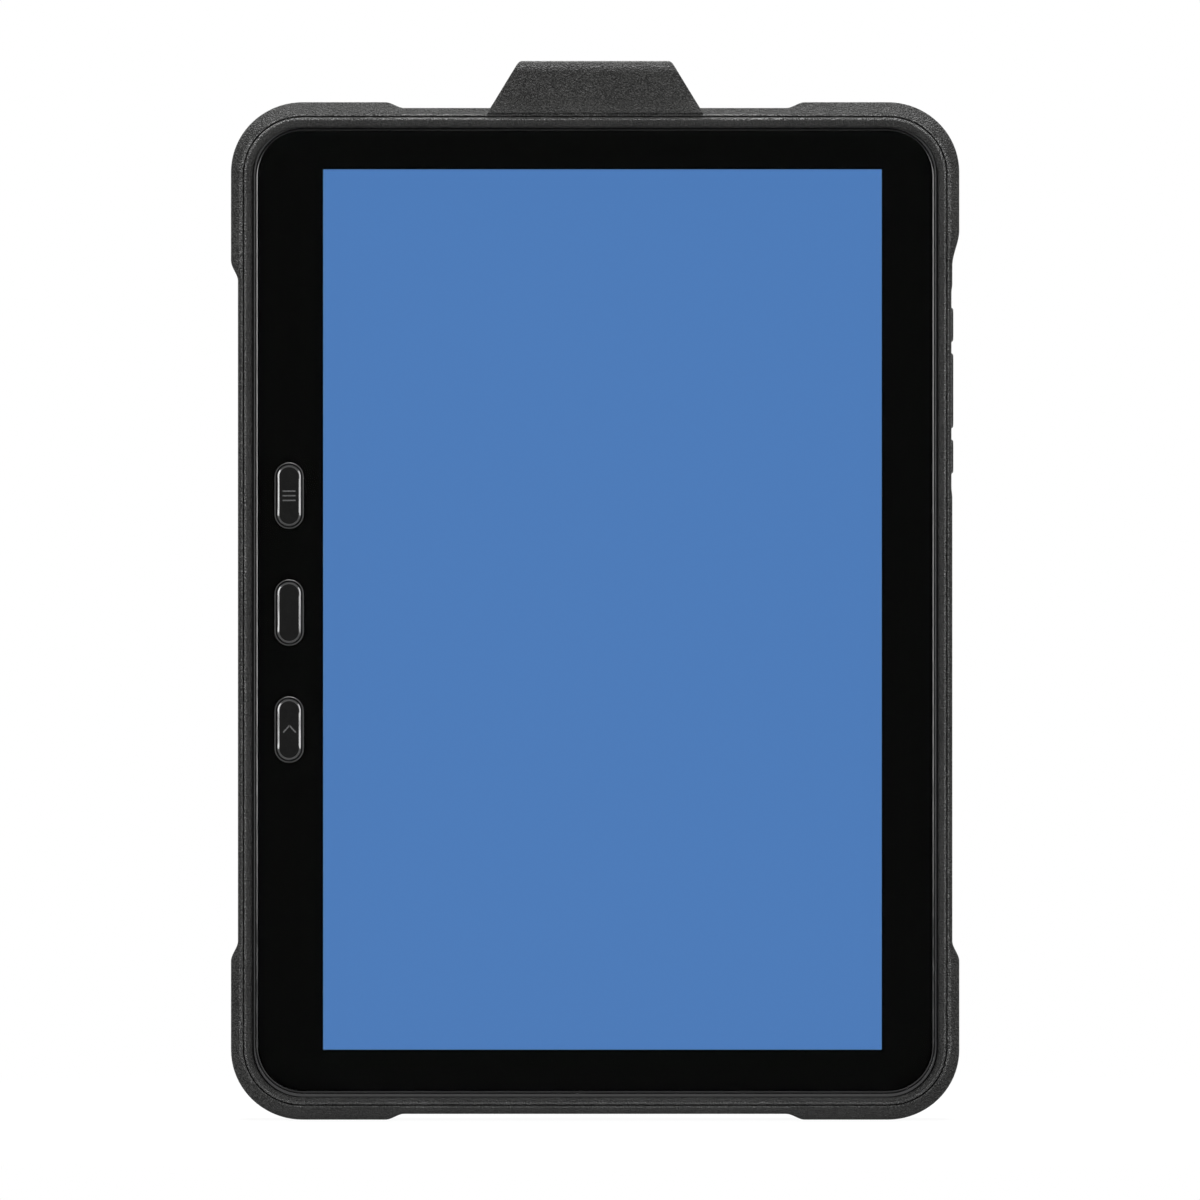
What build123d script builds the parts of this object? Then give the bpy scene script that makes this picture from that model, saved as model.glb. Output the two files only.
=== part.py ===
"""Rugged case for a ten-inch tablet, with the tablet fitted.

The case is a soft moulded shell, a frame of walls and corner bumpers round a stiff back plate, closed
at the front by a ring that snaps in over the tablet's edge. A stylus sleeve is let into the top wall, three
key covers sit in the right-hand wall, and a hand strap turns on a swivel at the back.

Everything is modelled lying on its back: X to the right, Y up the length of the case with 0 at its
middle, Z towards the screen with 0 on the shell's inner floor. The finished pieces are then stood up.
Lengths are in millimetres.
"""
from build123d import *
import os

os.makedirs("parts", exist_ok=True)

# ---------------------------------------------------------------- tablet
tablet_width = 170.2
tablet_length = 241.6
tablet_thickness = 9.9
tablet_corner = 12.9
tablet_edge_bevel = 1.0
frame_edge_bevel = 0.5

glass_side_margin = 1.2
glass_end_margin = 1.6
glass_corner = 11.7
glass_thickness = 1.0
glass_edge_bevel = 0.45
glass_clearance = 0.1

screen_side_margin = 16.1
screen_end_margin = 12.05
screen_thickness = 1.3
screen_x = 1.8
screen_y = 0.35
bezel_sheet = 0.25

cover_wall = 1.3
cover_height = 5.6
chassis_thickness = 1.0

front_key_width = 5.8
front_key_length = 15.0
front_key_inset = 9.5
front_key_pitch = 28.9
front_key_y = -0.4
front_key_proud = 0.15
front_key_crown = 0.25
front_key_travel = 0.4
trim_gap = 0.12
trim_wall = 0.52

side_key_width = 3.4
side_key_proud = 0.15
side_key_depth = 1.6
side_key_clearance = 0.15
side_key_shorter = 1.2
frame_ledge = 2.0
part_gap = 0.05

battery_side_margin = 39.1
battery_top_margin = 39.8
battery_bottom_margin = 59.8
battery_thickness = 3.6
board_side_margin = 16.1
board_length = 50.0
board_thickness = 0.9
board_edge_gap = 0.4

camera_side_inset = 23.1
camera_end_inset = 28.8
camera_radius = 5.2
camera_bezel_wall = 1.3
camera_proud = 0.4
camera_depth = 1.7
camera_hole_clearance = 0.1
flash_pitch = 14.0
flash_radius = 2.4

# ---------------------------------------------------------------- shell
bay_clearance = 0.3
tablet_gap = 0.2
side_wall = 2.85
end_wall = 3.2
floor_thickness = 2.6
crest_height = 11.3
crest_bevel = 2.1
rear_bevel = 1.4
shell_corner = 15.9

bumper_side = 1.75
bumper_end = 1.5
bumper_corner = 17.5
bumper_crest = 11.15
bumper_crest_bevel = 3.0
bumper_foot = 1.6
bumper_foot_bevel = 1.8
foot_width = 9.0
foot_step_round = 6.0
bumper_end_inset = 37.25
bumper_ramp = 8.0
bumper_side_inset = 38.5
bumper_side_inset_short = 30.8
bumper_ramp_short = 14.0

plate_side_inset = 11.25
plate_end_inset = 12.3
plate_corner = 18.0
plate_thickness = 1.2
plate_clearance = 0.1
flange_width = 3.0

# ---------------------------------------------------------------- front ring
ring_side_inset = 1.5
ring_end_inset = 2.4
ring_corner = 14.2
ring_height = 11.7
ring_seat = 8.5
ring_clearance = 0.2
lip_side = 2.1
lip_end = 2.2
window_corner = 12.1
window_y = -0.4
lip_edge_height = 10.85
lip_slope = 1.25
ring_edge_round = 0.25
tab_length = 8.0
tab_drop = 2.6
tab_thickness = 0.9
tab_clearance = 0.12
side_tab_drop = (40.0, 93.9)
tabs_per_end = 2

# ---------------------------------------------------------------- key covers in the right-hand wall
cover_drop = (50.0, 66.3, 82.6)
cover_length = (8.9, 19.0, 8.9)
cover_width = 4.6
cover_level = 4.6
cover_proud = 0.35
cover_flange = 0.9
cover_flange_thickness = 0.8
cover_clearance = 0.15
cover_travel = 0.3
cover_play = 0.32
pivot_radius = 0.4
pivot_length = 0.5
pivot_clearance = 0.05
key_panel_depth = 0.25
key_panel_margin = 4.5

# ---------------------------------------------------------------- openings in the shell
usb_x = 9.0
usb_width = 13.0
usb_height = 6.4
usb_socket_width = 8.9
usb_socket_height = 3.2
usb_socket_depth = 7.0
usb_socket_wall = 0.3
usb_tongue_width = 6.2
usb_tongue_thickness = 0.7
audio_x = -13.0
audio_radius = 3.6
audio_socket_radius = 2.6
audio_socket_depth = 9.0
audio_bore_radius = 1.8
socket_recess = 0.1
socket_clearance = 0.2
socket_cut_depth = 8.0
port_level = 4.8
camera_window_length = 30.0
camera_window_width = 17.0
camera_window_lip = 0.8
camera_window_rim = 2.2
speaker_slots = 3
speaker_slot_length = 15.0
speaker_slot_width = 1.8
speaker_slot_pitch = 3.6
speaker_places = (-52.0, 30.0)
speaker_end_inset = 26.3
rib_count = 5
rib_length = 18.0
rib_width = 2.4
rib_pitch = 5.2
rib_height = 0.5
rib_inset = 16.0

# ---------------------------------------------------------------- stylus sleeve
sleeve_proud = 11.7
sleeve_top_width = 37.5
sleeve_side_slope = 0.6085
sleeve_root = 1.6
sleeve_radius = 4.3
sleeve_bore_length = 35.0
sleeve_mouth_radius = 4.8
sleeve_outer_wall = 1.4
sleeve_front = 10.2
sleeve_rear = -1.9
sleeve_round = 3.0
sleeve_corner = 1.5
sleeve_clearance = 0.05

# ---------------------------------------------------------------- swivel and hand strap
boss_radius = 48.0
boss_height = 1.4
hub_radius = 19.0
hub_clearance = 0.2
retainer_radius = 27.0
retainer_thickness = 1.1
retainer_clearance = 0.15
washer_outer = 43.0
washer_thickness = 0.5
washer_gap = 0.1
disc_radius = 45.0
disc_thickness = 3.5
disc_edge_round = 1.2
disc_hollow_radius = 14.0
disc_hollow_depth = 1.0
ear_width = 62.0
ear_reach = 69.0
ear_corner = 6.0
ear_relief = 0.9
slot_length = 53.0
slot_width = 4.6
bar_width = 3.6
screw_count = 3
screw_circle_radius = 13.0
screw_radius = 1.2
screw_head_radius = 2.3
screw_clearance = 0.08
screw_length = 6.0
screw_drive_radius = 0.85
screw_drive_depth = 0.7
screw_hole_depth = 0.5

strap_width = 50.0
strap_thickness = 1.8
strap_rise = 20.0
strap_clearance = 0.25
strap_fold = 30.0
pad_width = 60.0
pad_length = 80.0
pad_thickness = 3.6
pad_clearance = 0.05
tab_end_length = 14.0
tab_end_thickness = 1.2
tab_end_width = 44.0

# ---------------------------------------------------------------- sizes that follow from those above
body_width = tablet_width + 2 * (bay_clearance + side_wall)
body_length = tablet_length + 2 * (bay_clearance + end_wall)
bay_width = tablet_width + 2 * bay_clearance
bay_length = tablet_length + 2 * bay_clearance
bay_corner = tablet_corner + bay_clearance
bumper_width = body_width + 2 * bumper_side
bumper_length = body_length + 2 * bumper_end
bumper_end_start = body_width / 2 - bumper_end_inset
bumper_reach = body_length / 2 - bumper_side_inset
bumper_reach_short = body_length / 2 - bumper_side_inset_short
plate_width = body_width - 2 * plate_side_inset
plate_length = body_length - 2 * plate_end_inset
ring_width = body_width - 2 * ring_side_inset
ring_length = body_length - 2 * ring_end_inset
window_width = ring_width - 2 * lip_side
window_length = ring_length - 2 * lip_end
sleeve_top = body_length / 2 + sleeve_proud
speaker_y = speaker_end_inset - body_length / 2
rib_x = plate_width / 2 - rib_inset

glass_width = tablet_width - 2 * glass_side_margin
glass_length = tablet_length - 2 * glass_end_margin
screen_width = tablet_width - 2 * screen_side_margin
screen_length = tablet_length - 2 * screen_end_margin
battery_width = tablet_width - 2 * battery_side_margin
battery_length = tablet_length - battery_top_margin - battery_bottom_margin
battery_y = (battery_bottom_margin - battery_top_margin) / 2
board_width = tablet_width - 2 * board_side_margin
camera_x = tablet_width / 2 - camera_side_inset
camera_y = camera_end_inset - tablet_length / 2
front_key_x = front_key_inset - tablet_width / 2
cover_y = [tablet_length / 2 - drop for drop in cover_drop]

tablet_back = tablet_gap
tablet_front = tablet_back + tablet_thickness
glass_back = tablet_front - glass_thickness
bezel_back = glass_back - bezel_sheet
screen_back = bezel_back - screen_thickness
chassis_back = screen_back - chassis_thickness
cover_top = tablet_back + cover_height
lip_underside = tablet_front + tablet_gap
side_key_x = tablet_width / 2

shell_back = -floor_thickness
plate_front = shell_back + plate_thickness
boss_back = shell_back - boss_height
washer_front = boss_back - washer_gap
disc_front = washer_front - washer_thickness - washer_gap
disc_back = disc_front - disc_thickness
retainer_front = -retainer_clearance
retainer_back = retainer_front - retainer_thickness

bar_outer = ear_reach - 1.2
slot_centre = bar_outer - bar_width - slot_width / 2
strap_inner_crest = disc_back - strap_rise
strap_outer_crest = strap_inner_crest - strap_thickness
strap_foot = disc_back - strap_clearance
strap_chord = bar_outer - bar_width - strap_clearance - strap_thickness / 2
strap_sagitta = strap_foot - strap_inner_crest
strap_radius = (strap_chord**2 + strap_sagitta**2) / (2 * strap_sagitta)
strap_centre = strap_inner_crest + strap_radius

depth_middle = (ring_height + strap_outer_crest) / 2


def slab(width, length, corner, bottom, top, x=0.0, y=0.0):
    """A plate with rounded corners between two levels."""
    return Pos(x, y, bottom) * extrude(RectangleRounded(width, length, corner), top - bottom)


def block(width, length, bottom, top, x=0.0, y=0.0):
    """A plate with square corners between two levels."""
    return Pos(x, y, bottom) * extrude(Rectangle(width, length), top - bottom)


def pill(width, length, bottom, top, x=0.0, y=0.0):
    """A plate with two round ends, its long way along Y."""
    return Pos(x, y, bottom) * extrude(Rot(0, 0, 90) * SlotOverall(length, width), top - bottom)


def rod(radius, bottom, top, x=0.0, y=0.0):
    """A round rod along Z between two levels."""
    return Pos(x, y, bottom) * extrude(Circle(radius), top - bottom)


def stack(*levels):
    """A body with straight flanks through rounded rectangles (width, length, corner, level, y)."""
    faces = []
    for width, length, corner, level, y in levels:
        faces.append((Pos(0, y, level) * RectangleRounded(width, length, corner)).face())
    return loft(faces, ruled=True)


def across_x(profile, width, x=0.0):
    """A closed outline drawn in Y and Z, made solid over a width centred on x."""
    return Pos(x, 0, 0) * extrude(Plane.YZ * profile, width / 2, both=True)


# ---------------------------------------------------------------- shell
def rounded_slab(width, length, corner, bottom, top, bottom_bevel, top_bevel):
    """A plate with rounded corners, its front and back rims bevelled."""
    body = slab(width, length, corner, bottom, top)
    body = chamfer(body.edges().group_by(Axis.Z)[-1], top_bevel)
    return chamfer(body.edges().group_by(Axis.Z)[0], bottom_bevel)


def corner_zone(side, end, reach, ramp):
    """The plan area of one bumper, with a ramp down to the wall at each of its two ends."""
    half_width, half_length = bumper_width / 2, bumper_length / 2
    inner_x = half_width - bumper_crest_bevel
    inner_y = half_length - bumper_crest_bevel
    beyond = 5.0
    points = [
        (bumper_end_start - bumper_ramp, inner_y),
        (bumper_end_start, half_length),
        (bumper_end_start, half_length + beyond),
        (half_width + beyond, half_length + beyond),
        (half_width + beyond, reach),
        (half_width, reach),
        (inner_x, reach - ramp),
        (bumper_end_start - bumper_ramp, reach - ramp),
    ]
    outline = Polygon(*[(side * x, end * y) for x, y in points], align=None)
    depth = bumper_crest - shell_back + 2 * bumper_foot
    return Pos(0, 0, shell_back - bumper_foot) * extrude(outline, depth, dir=(0, 0, 1))


def bumpers():
    """The four corner bumpers, which stand out past the walls and past the back as feet."""
    back = shell_back - bumper_foot
    body = rounded_slab(
        bumper_width,
        bumper_length,
        bumper_corner,
        back,
        bumper_crest,
        bumper_foot_bevel,
        bumper_crest_bevel,
    )
    body -= slab(
        bumper_width - 2 * foot_width,
        bumper_length - 2 * foot_width,
        foot_step_round,
        back,
        shell_back,
    )
    zones = [
        corner_zone(-1, 1, bumper_reach, bumper_ramp),
        corner_zone(-1, -1, bumper_reach, bumper_ramp),
        corner_zone(1, -1, bumper_reach, bumper_ramp),
        corner_zone(1, 1, bumper_reach_short, bumper_ramp_short),
    ]
    return body & (zones[0] + zones[1] + zones[2] + zones[3])


def tab_places():
    """Where the ring's tabs stand: (x, y, width along X, length along Y) of each."""
    places = []
    x = bay_width / 2 + tab_thickness / 2
    y = bay_length / 2 + tab_thickness / 2
    for drop in side_tab_drop:
        for along in (tablet_length / 2 - drop, drop - tablet_length / 2):
            places.append((-x, along, tab_thickness, tab_length))
            places.append((x, along, tab_thickness, tab_length))
    end_pitch = (ring_width - 2 * ring_corner) / tabs_per_end
    for n in range(tabs_per_end):
        along = (n - (tabs_per_end - 1) / 2) * end_pitch
        places.append((along, y, tab_length, tab_thickness))
        places.append((along, -y, tab_length, tab_thickness))
    return places


def key_windows(shell):
    """Cuts the sunk panel and the three stepped windows for the key covers."""
    wall_out, wall_in = body_width / 2, bay_width / 2
    panel_top = cover_y[0] + cover_length[0] / 2 + key_panel_margin
    panel_bottom = cover_y[-1] - cover_length[-1] / 2 - key_panel_margin
    panel = Box(2 * key_panel_depth, panel_top - panel_bottom, cover_width + 2)
    shell -= Pos(wall_out, (panel_top + panel_bottom) / 2, cover_level) * panel
    for y, length in zip(cover_y, cover_length):
        hole = Rot(0, 90, 0) * extrude(
            RectangleRounded(cover_width, length, cover_width / 2 - 0.01), 2 * side_wall, both=True
        )
        shell -= Pos(wall_out, y, cover_level) * hole
        seat = Box(
            2 * (cover_clearance + cover_flange_thickness + cover_play),
            length + 2 * cover_flange,
            cover_width + 2 * cover_flange,
        )
        shell -= Pos(wall_in, y, cover_level) * seat
    return shell - pivot_slot(cover_pivot_x(), cover_width + 2 * cover_flange)


def cover_pivot_x():
    """Where the volume cover rocks: the middle of its flange's thickness."""
    return bay_width / 2 + cover_clearance + cover_flange_thickness / 2


def pivot_pin(x, width):
    """The two stub pins that a volume key or cover rocks on, as one rod through it."""
    return Pos(x, cover_y[1], cover_level) * Cylinder(pivot_radius, width + 2 * pivot_length)


def pivot_slot(x, width):
    """The slot for those pins, open towards the tablet's side."""
    room = 2 * pivot_clearance
    radius = pivot_radius + pivot_clearance
    long = width + 2 * pivot_length + room
    slot = Cylinder(radius, long) + Pos(-radius, 0, 0) * Box(2 * radius, 2 * radius, long)
    return Pos(x, cover_y[1], cover_level) * slot


def back_windows():
    """What is cut through the back: the camera window, the speaker slots and the swivel's bore."""
    window_y = camera_y + flash_pitch / 2
    cuts = slab(
        camera_window_width,
        camera_window_length,
        camera_window_width / 2 - 0.5,
        shell_back - 2 * camera_window_lip,
        1,
        camera_x,
        window_y,
    )
    for centre in speaker_places:
        for n in range(speaker_slots):
            x = centre + (n - (speaker_slots - 1) / 2) * speaker_slot_pitch
            cuts += pill(speaker_slot_width, speaker_slot_length, shell_back - 1, 1, x, speaker_y)
    return cuts + rod(hub_radius + hub_clearance, boss_back - 1, 1)


def outer_shell():
    """The soft moulded frame: walls, bumpers, a flange that holds the plate, windows and ports."""
    shell = rounded_slab(
        body_width, body_length, shell_corner, shell_back, crest_height, rear_bevel, crest_bevel
    )
    shell += bumpers()
    shell -= slab(
        plate_width + 2 * plate_clearance,
        plate_length + 2 * plate_clearance,
        plate_corner + plate_clearance,
        shell_back - 1,
        plate_front,
    )
    shell -= slab(bay_width, bay_length, bay_corner, 0, crest_height + 1)
    shell -= slab(
        ring_width + 2 * ring_clearance,
        ring_length + 2 * ring_clearance,
        ring_corner + ring_clearance,
        ring_seat,
        crest_height + 1,
    )
    for x, y, wide, long in tab_places():
        grow = 2 * tab_clearance
        shell -= block(wide + grow, long + grow, ring_seat - tab_drop - tab_clearance, ring_seat, x, y)
    shell = key_windows(shell)
    shell -= slab(
        plate_width - 2 * flange_width,
        plate_length - 2 * flange_width,
        plate_corner - flange_width,
        shell_back,
        1,
    )
    end = -body_length / 2
    shell -= Pos(usb_x, end, port_level) * Box(usb_width, 3 * end_wall, usb_height)
    shell -= Pos(audio_x, end, port_level) * Rot(90, 0, 0) * Cylinder(audio_radius, 3 * end_wall)
    return shell - sleeve_plan(sleeve_clearance, -2 * floor_thickness, crest_height + 1)


def back_plate():
    """The stiff back: a stepped plate with the swivel boss, grip ribs and a rim round the camera."""
    plate = slab(plate_width, plate_length, plate_corner, shell_back, plate_front)
    step = flange_width + plate_clearance
    plate += slab(plate_width - 2 * step, plate_length - 2 * step, plate_corner - step, plate_front, 0)
    plate += rod(boss_radius, boss_back, shell_back)
    plate += slab(
        camera_window_width + 2 * camera_window_rim,
        camera_window_length + 2 * camera_window_rim,
        camera_window_width / 2,
        shell_back - camera_window_lip,
        shell_back,
        camera_x,
        camera_y + flash_pitch / 2,
    )
    for side in (-1, 1):
        for n in range(rib_count):
            y = (n - (rib_count - 1) / 2) * rib_pitch
            plate += block(rib_length, rib_width, shell_back - rib_height, shell_back, side * rib_x, y)
    plate -= rod(retainer_radius + retainer_clearance, plate_front, 1)
    return plate - back_windows()


# ---------------------------------------------------------------- stylus sleeve
def sleeve_plan(grow, bottom, top):
    """The sleeve's tapering plan outline between two levels, grown a little for its notch."""
    root_y = body_length / 2 - sleeve_root
    half_top = sleeve_top_width / 2 + grow
    half_root = half_top + (sleeve_top - root_y) * sleeve_side_slope
    outline = Polygon(
        (-half_root, root_y - grow),
        (half_root, root_y - grow),
        (half_top, sleeve_top),
        (-half_top, sleeve_top),
        align=None,
    )
    outline = fillet(outline.vertices().sort_by(Axis.Y)[-2:], sleeve_corner)
    return Pos(0, 0, bottom) * extrude(outline, top - bottom)


def stylus_sleeve():
    """A loop across the top wall, open at both ends, that holds a stylus by its barrel."""
    root_y = body_length / 2 - sleeve_root
    wall_y = body_length / 2
    bore_y = sleeve_top - sleeve_outer_wall - sleeve_radius
    bore_z = (sleeve_front + sleeve_rear) / 2
    profile = Polygon(
        (root_y, sleeve_rear),
        (root_y, crest_height),
        (wall_y - 1.2, crest_height),
        (wall_y + 2.6, sleeve_front),
        (sleeve_top, sleeve_front),
        (sleeve_top, sleeve_rear),
        align=None,
    )
    profile = fillet(profile.vertices().sort_by(Axis.X)[-2:], sleeve_round)
    sleeve = across_x(profile, 3 * sleeve_top_width)
    sleeve &= sleeve_plan(0, shell_back, crest_height)
    barrel = Pos(0, bore_y, bore_z) * Rot(0, 90, 0)
    sleeve -= barrel * Cylinder(sleeve_radius, 3 * sleeve_top_width)
    for side in (-1, 1):
        mouth = Cylinder(sleeve_mouth_radius, sleeve_top_width)
        sleeve -= Pos(side * (sleeve_bore_length + sleeve_top_width) / 2, 0, 0) * barrel * mouth
    return sleeve


# ---------------------------------------------------------------- front ring
def front_ring():
    """The ring that closes the case: a crest, a slope down to the lip, a skirt and its tabs."""
    ring = slab(ring_width, ring_length, ring_corner, ring_seat, ring_height)
    ring = chamfer(ring.edges().group_by(Axis.Z)[-1], ring_edge_round)
    ring -= slab(window_width, window_length, window_corner, ring_seat, ring_height + 1, y=window_y)
    ring -= slab(bay_width, bay_length, bay_corner, ring_seat, lip_underside)
    ring -= stack(
        (window_width, window_length, window_corner, lip_edge_height, window_y),
        (
            window_width + 2 * lip_slope,
            window_length + 2 * lip_slope,
            window_corner + lip_slope,
            ring_height,
            window_y,
        ),
    )
    for x, y, wide, long in tab_places():
        tab = block(wide, long, ring_seat - tab_drop, ring_seat + 0.5, x, y)
        ring += tab
    return ring


# ---------------------------------------------------------------- key covers
def key_cover(y, length):
    """A soft push cover: the button that shows, and a flange behind the wall that keeps it in."""
    wall_in = bay_width / 2
    outer = body_width / 2 + cover_proud
    inner = wall_in + cover_clearance
    gap = 2 * cover_clearance
    button = Rot(0, 90, 0) * extrude(
        RectangleRounded(cover_width - gap, length - gap, (cover_width - gap) / 2 - 0.01), outer - inner
    )
    button = chamfer(button.edges().group_by(Axis.X)[-1], 0.4)
    flange = Box(
        cover_flange_thickness,
        length + 2 * cover_flange - gap,
        cover_width + 2 * cover_flange - gap,
        align=(Align.MIN, Align.CENTER, Align.CENTER),
    )
    cover = Pos(inner, y, cover_level) * (button + flange)
    if y == cover_y[1]:
        cover += pivot_pin(cover_pivot_x(), cover_width + 2 * cover_flange)
    return cover


# ---------------------------------------------------------------- swivel and strap
def swivel_disc():
    """The turning plate: a round disc with a hub through the shell and two slotted ears."""
    disc = rod(disc_radius, disc_back, disc_front)
    disc += slab(ear_width, 2 * ear_reach, ear_corner, disc_back, disc_front)
    disc = chamfer(disc.edges().group_by(Axis.Z)[0], disc_edge_round)
    disc -= rod(disc_hollow_radius, disc_back - 1, disc_back + disc_hollow_depth)
    disc += rod(hub_radius, disc_front, retainer_back)
    for end in (-1, 1):
        disc -= block(slot_length, slot_width, disc_back - 1, disc_front + 1, 0, end * slot_centre)
        relief = ear_reach - slot_centre + slot_width
        disc -= block(
            slot_length,
            relief,
            disc_front - ear_relief,
            disc_front + 1,
            0,
            end * (slot_centre + relief / 2),
        )
    for x, y in screw_places():
        disc -= rod(
            screw_radius + screw_clearance,
            retainer_front - screw_length - screw_hole_depth,
            retainer_front,
            x,
            y,
        )
    return disc


def screw_places():
    """Centres of the retainer's screws."""
    return [(place.position.X, place.position.Y) for place in PolarLocations(screw_circle_radius, screw_count, 45)]


def retainer_plate():
    """The plate inside the floor that holds the disc to the shell, countersunk for its screws."""
    plate = rod(retainer_radius, retainer_back, retainer_front)
    for x, y in screw_places():
        plate -= rod(screw_radius + screw_clearance, retainer_back - 1, retainer_front + 1, x, y)
        sink = Cone(
            screw_radius + screw_clearance,
            screw_head_radius + screw_clearance,
            retainer_thickness,
            align=(Align.CENTER, Align.CENTER, Align.MAX),
        )
        plate -= Pos(x, y, retainer_front) * sink
    return plate


def retainer_screws():
    """Countersunk screws from the plate into the disc's hub."""
    outline = Polyline(
        (0, -screw_length),
        (screw_radius, -screw_length),
        (screw_radius, -retainer_thickness),
        (screw_head_radius, 0),
        (0, 0),
        (0, -screw_length),
    )
    screw = revolve(Plane.XZ * make_face(outline), Axis.Z)
    screw -= Pos(0, 0, -screw_drive_depth) * extrude(RegularPolygon(screw_drive_radius, 6), screw_length)
    return Part() + [Pos(x, y, retainer_front) * screw for x, y in screw_places()]


def slip_washer():
    """A slippery ring between the boss and the disc."""
    return rod(washer_outer, washer_front - washer_thickness, washer_front) - rod(
        hub_radius + hub_clearance, washer_front - washer_thickness - 1, washer_front + 1
    )


def arch(inner_gap, thickness, low, high, width):
    """A curved strip concentric with the strap, from one Y to another, inner_gap outside its inner face."""
    inner = strap_radius + inner_gap
    outer = inner + thickness

    def point(radius, y):
        return (y, strap_centre - (radius**2 - y**2) ** 0.5)

    middle = (low + high) / 2
    line = (
        ThreePointArc(point(inner, low), point(inner, middle), point(inner, high))
        + Line(point(inner, high), point(outer, high))
        + ThreePointArc(point(outer, high), point(outer, middle), point(outer, low))
        + Line(point(outer, low), point(inner, low))
    )
    return across_x(make_face(line), width)


def hand_strap():
    """Elastic webbing: an arch from slot to slot, a loop round each bar, and two folded ends."""
    strap = arch(0, strap_thickness, -strap_chord, strap_chord, strap_width)
    bar_front = disc_front - ear_relief
    gap = strap_clearance
    for end in (-1, 1):
        inner_low = bar_outer - bar_width - gap
        inner_high = ear_reach + gap
        loop = block(
            strap_width,
            inner_high - inner_low + 2 * strap_thickness,
            disc_back - gap - strap_thickness,
            bar_front + gap + strap_thickness,
            0,
            end * (inner_high + inner_low) / 2,
        )
        loop = fillet(loop.edges().filter_by(Axis.X), 1.2)
        loop -= block(
            strap_width + 1,
            inner_high - inner_low,
            disc_back - gap,
            bar_front + gap,
            0,
            end * (inner_high + inner_low) / 2,
        )
        strap += loop
        fold_from = strap_chord - strap_fold
        ends = sorted((end * fold_from, end * strap_chord))
        strap += arch(strap_thickness, strap_thickness, ends[0], ends[1], strap_width)
    return strap


def hand_pad():
    """The cushioned pad under the webbing, which lies against the hand."""
    return arch(-pad_thickness - pad_clearance, pad_thickness, -pad_length / 2, pad_length / 2, pad_width)


def pull_tabs():
    """A rubbery grip on each folded end of the webbing."""
    tabs = []
    for end in (-1, 1):
        fold_end = strap_chord - strap_fold
        low, high = sorted((end * fold_end, end * (fold_end + tab_end_length)))
        tabs.append(
            arch(2 * strap_thickness + pad_clearance, tab_end_thickness, low, high, tab_end_width)
        )
    return Part() + tabs


# ---------------------------------------------------------------- tablet
def key_places():
    """Y of the three keys beside the screen, top first."""
    return [front_key_y + n * front_key_pitch for n in (1, 0, -1)]


def key_openings(grow, bottom, top):
    """The three key holes as solids, grown all round."""
    holes = []
    for y in key_places():
        holes.append(
            pill(front_key_width + 2 * grow, front_key_length + 2 * grow, bottom, top, front_key_x, y)
        )
    return holes[0] + holes[1] + holes[2]


def tablet_rear_cover():
    """The tablet's moulded back: a shallow tray with a rounded outer edge."""
    cover = slab(tablet_width, tablet_length, tablet_corner, tablet_back, cover_top)
    cover = chamfer(cover.edges().group_by(Axis.Z)[0], tablet_edge_bevel)
    cover -= slab(
        tablet_width - 2 * cover_wall,
        tablet_length - 2 * cover_wall,
        tablet_corner - cover_wall,
        tablet_back + cover_wall,
        cover_top,
    )
    hole = camera_radius + camera_bezel_wall + camera_hole_clearance
    cover -= rod(hole, 0, cover_top, camera_x, camera_y)
    hole = flash_radius + camera_hole_clearance
    cover -= rod(hole, 0, cover_top, camera_x, camera_y + flash_pitch)
    return cut_ports(cover) - side_key_slots()


def cut_ports(piece):
    """Cuts the holes for the sockets in the tablet's lower end."""
    end = -tablet_length / 2
    piece -= Pos(usb_x, end, port_level) * Box(
        usb_socket_width + socket_clearance, 2 * socket_cut_depth, usb_socket_height + socket_clearance
    )
    piece -= Pos(audio_x, end, port_level) * Rot(90, 0, 0) * Cylinder(
        audio_socket_radius + socket_clearance / 2, 2 * socket_cut_depth
    )
    return piece


def tablet_frame():
    """The tablet's front frame: a glossy rim round the glass, with slots for the side keys."""
    frame = slab(tablet_width, tablet_length, tablet_corner, cover_top, tablet_front)
    frame = chamfer(frame.edges().group_by(Axis.Z)[-1], frame_edge_bevel)
    frame -= slab(
        glass_width + 2 * glass_clearance,
        glass_length + 2 * glass_clearance,
        glass_corner + glass_clearance,
        bezel_back,
        tablet_front + 1,
    )
    frame -= slab(
        glass_width - 2 * frame_ledge,
        glass_length - 2 * frame_ledge,
        glass_corner - frame_ledge,
        cover_top,
        tablet_front,
    )
    return cut_ports(frame) - side_key_slots()


def cover_glass():
    """The front glass, with three holes for the keys and a softened edge."""
    glass = slab(glass_width, glass_length, glass_corner, glass_back, tablet_front)
    glass = chamfer(glass.edges().group_by(Axis.Z)[-1], glass_edge_bevel)
    return glass - key_openings(trim_gap + trim_wall, glass_back - 1, tablet_front + 1)


def bezel_mask():
    """The black printed border behind the glass, open over the screen and the keys."""
    mask = slab(glass_width, glass_length, glass_corner, bezel_back, glass_back)
    mask -= block(screen_width, screen_length, bezel_back - 1, glass_back + 1, screen_x, screen_y)
    return mask - key_openings(trim_gap + trim_wall, bezel_back - 1, glass_back + 1)


def display_panel():
    """The display module: a plate whose raised field fills the window in the black border."""
    panel = block(screen_width + 6, screen_length + 6, screen_back, bezel_back, screen_x, screen_y)
    return panel + block(screen_width, screen_length, bezel_back, glass_back, screen_x, screen_y)


def chassis():
    """The stiff plate between the display and the battery."""
    plate = slab(
        glass_width - 2 * frame_ledge - 2 * part_gap,
        glass_length - 2 * frame_ledge - 2 * part_gap,
        glass_corner - frame_ledge,
        chassis_back - part_gap,
        screen_back - part_gap,
    )
    return plate - audio_notch()


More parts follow.
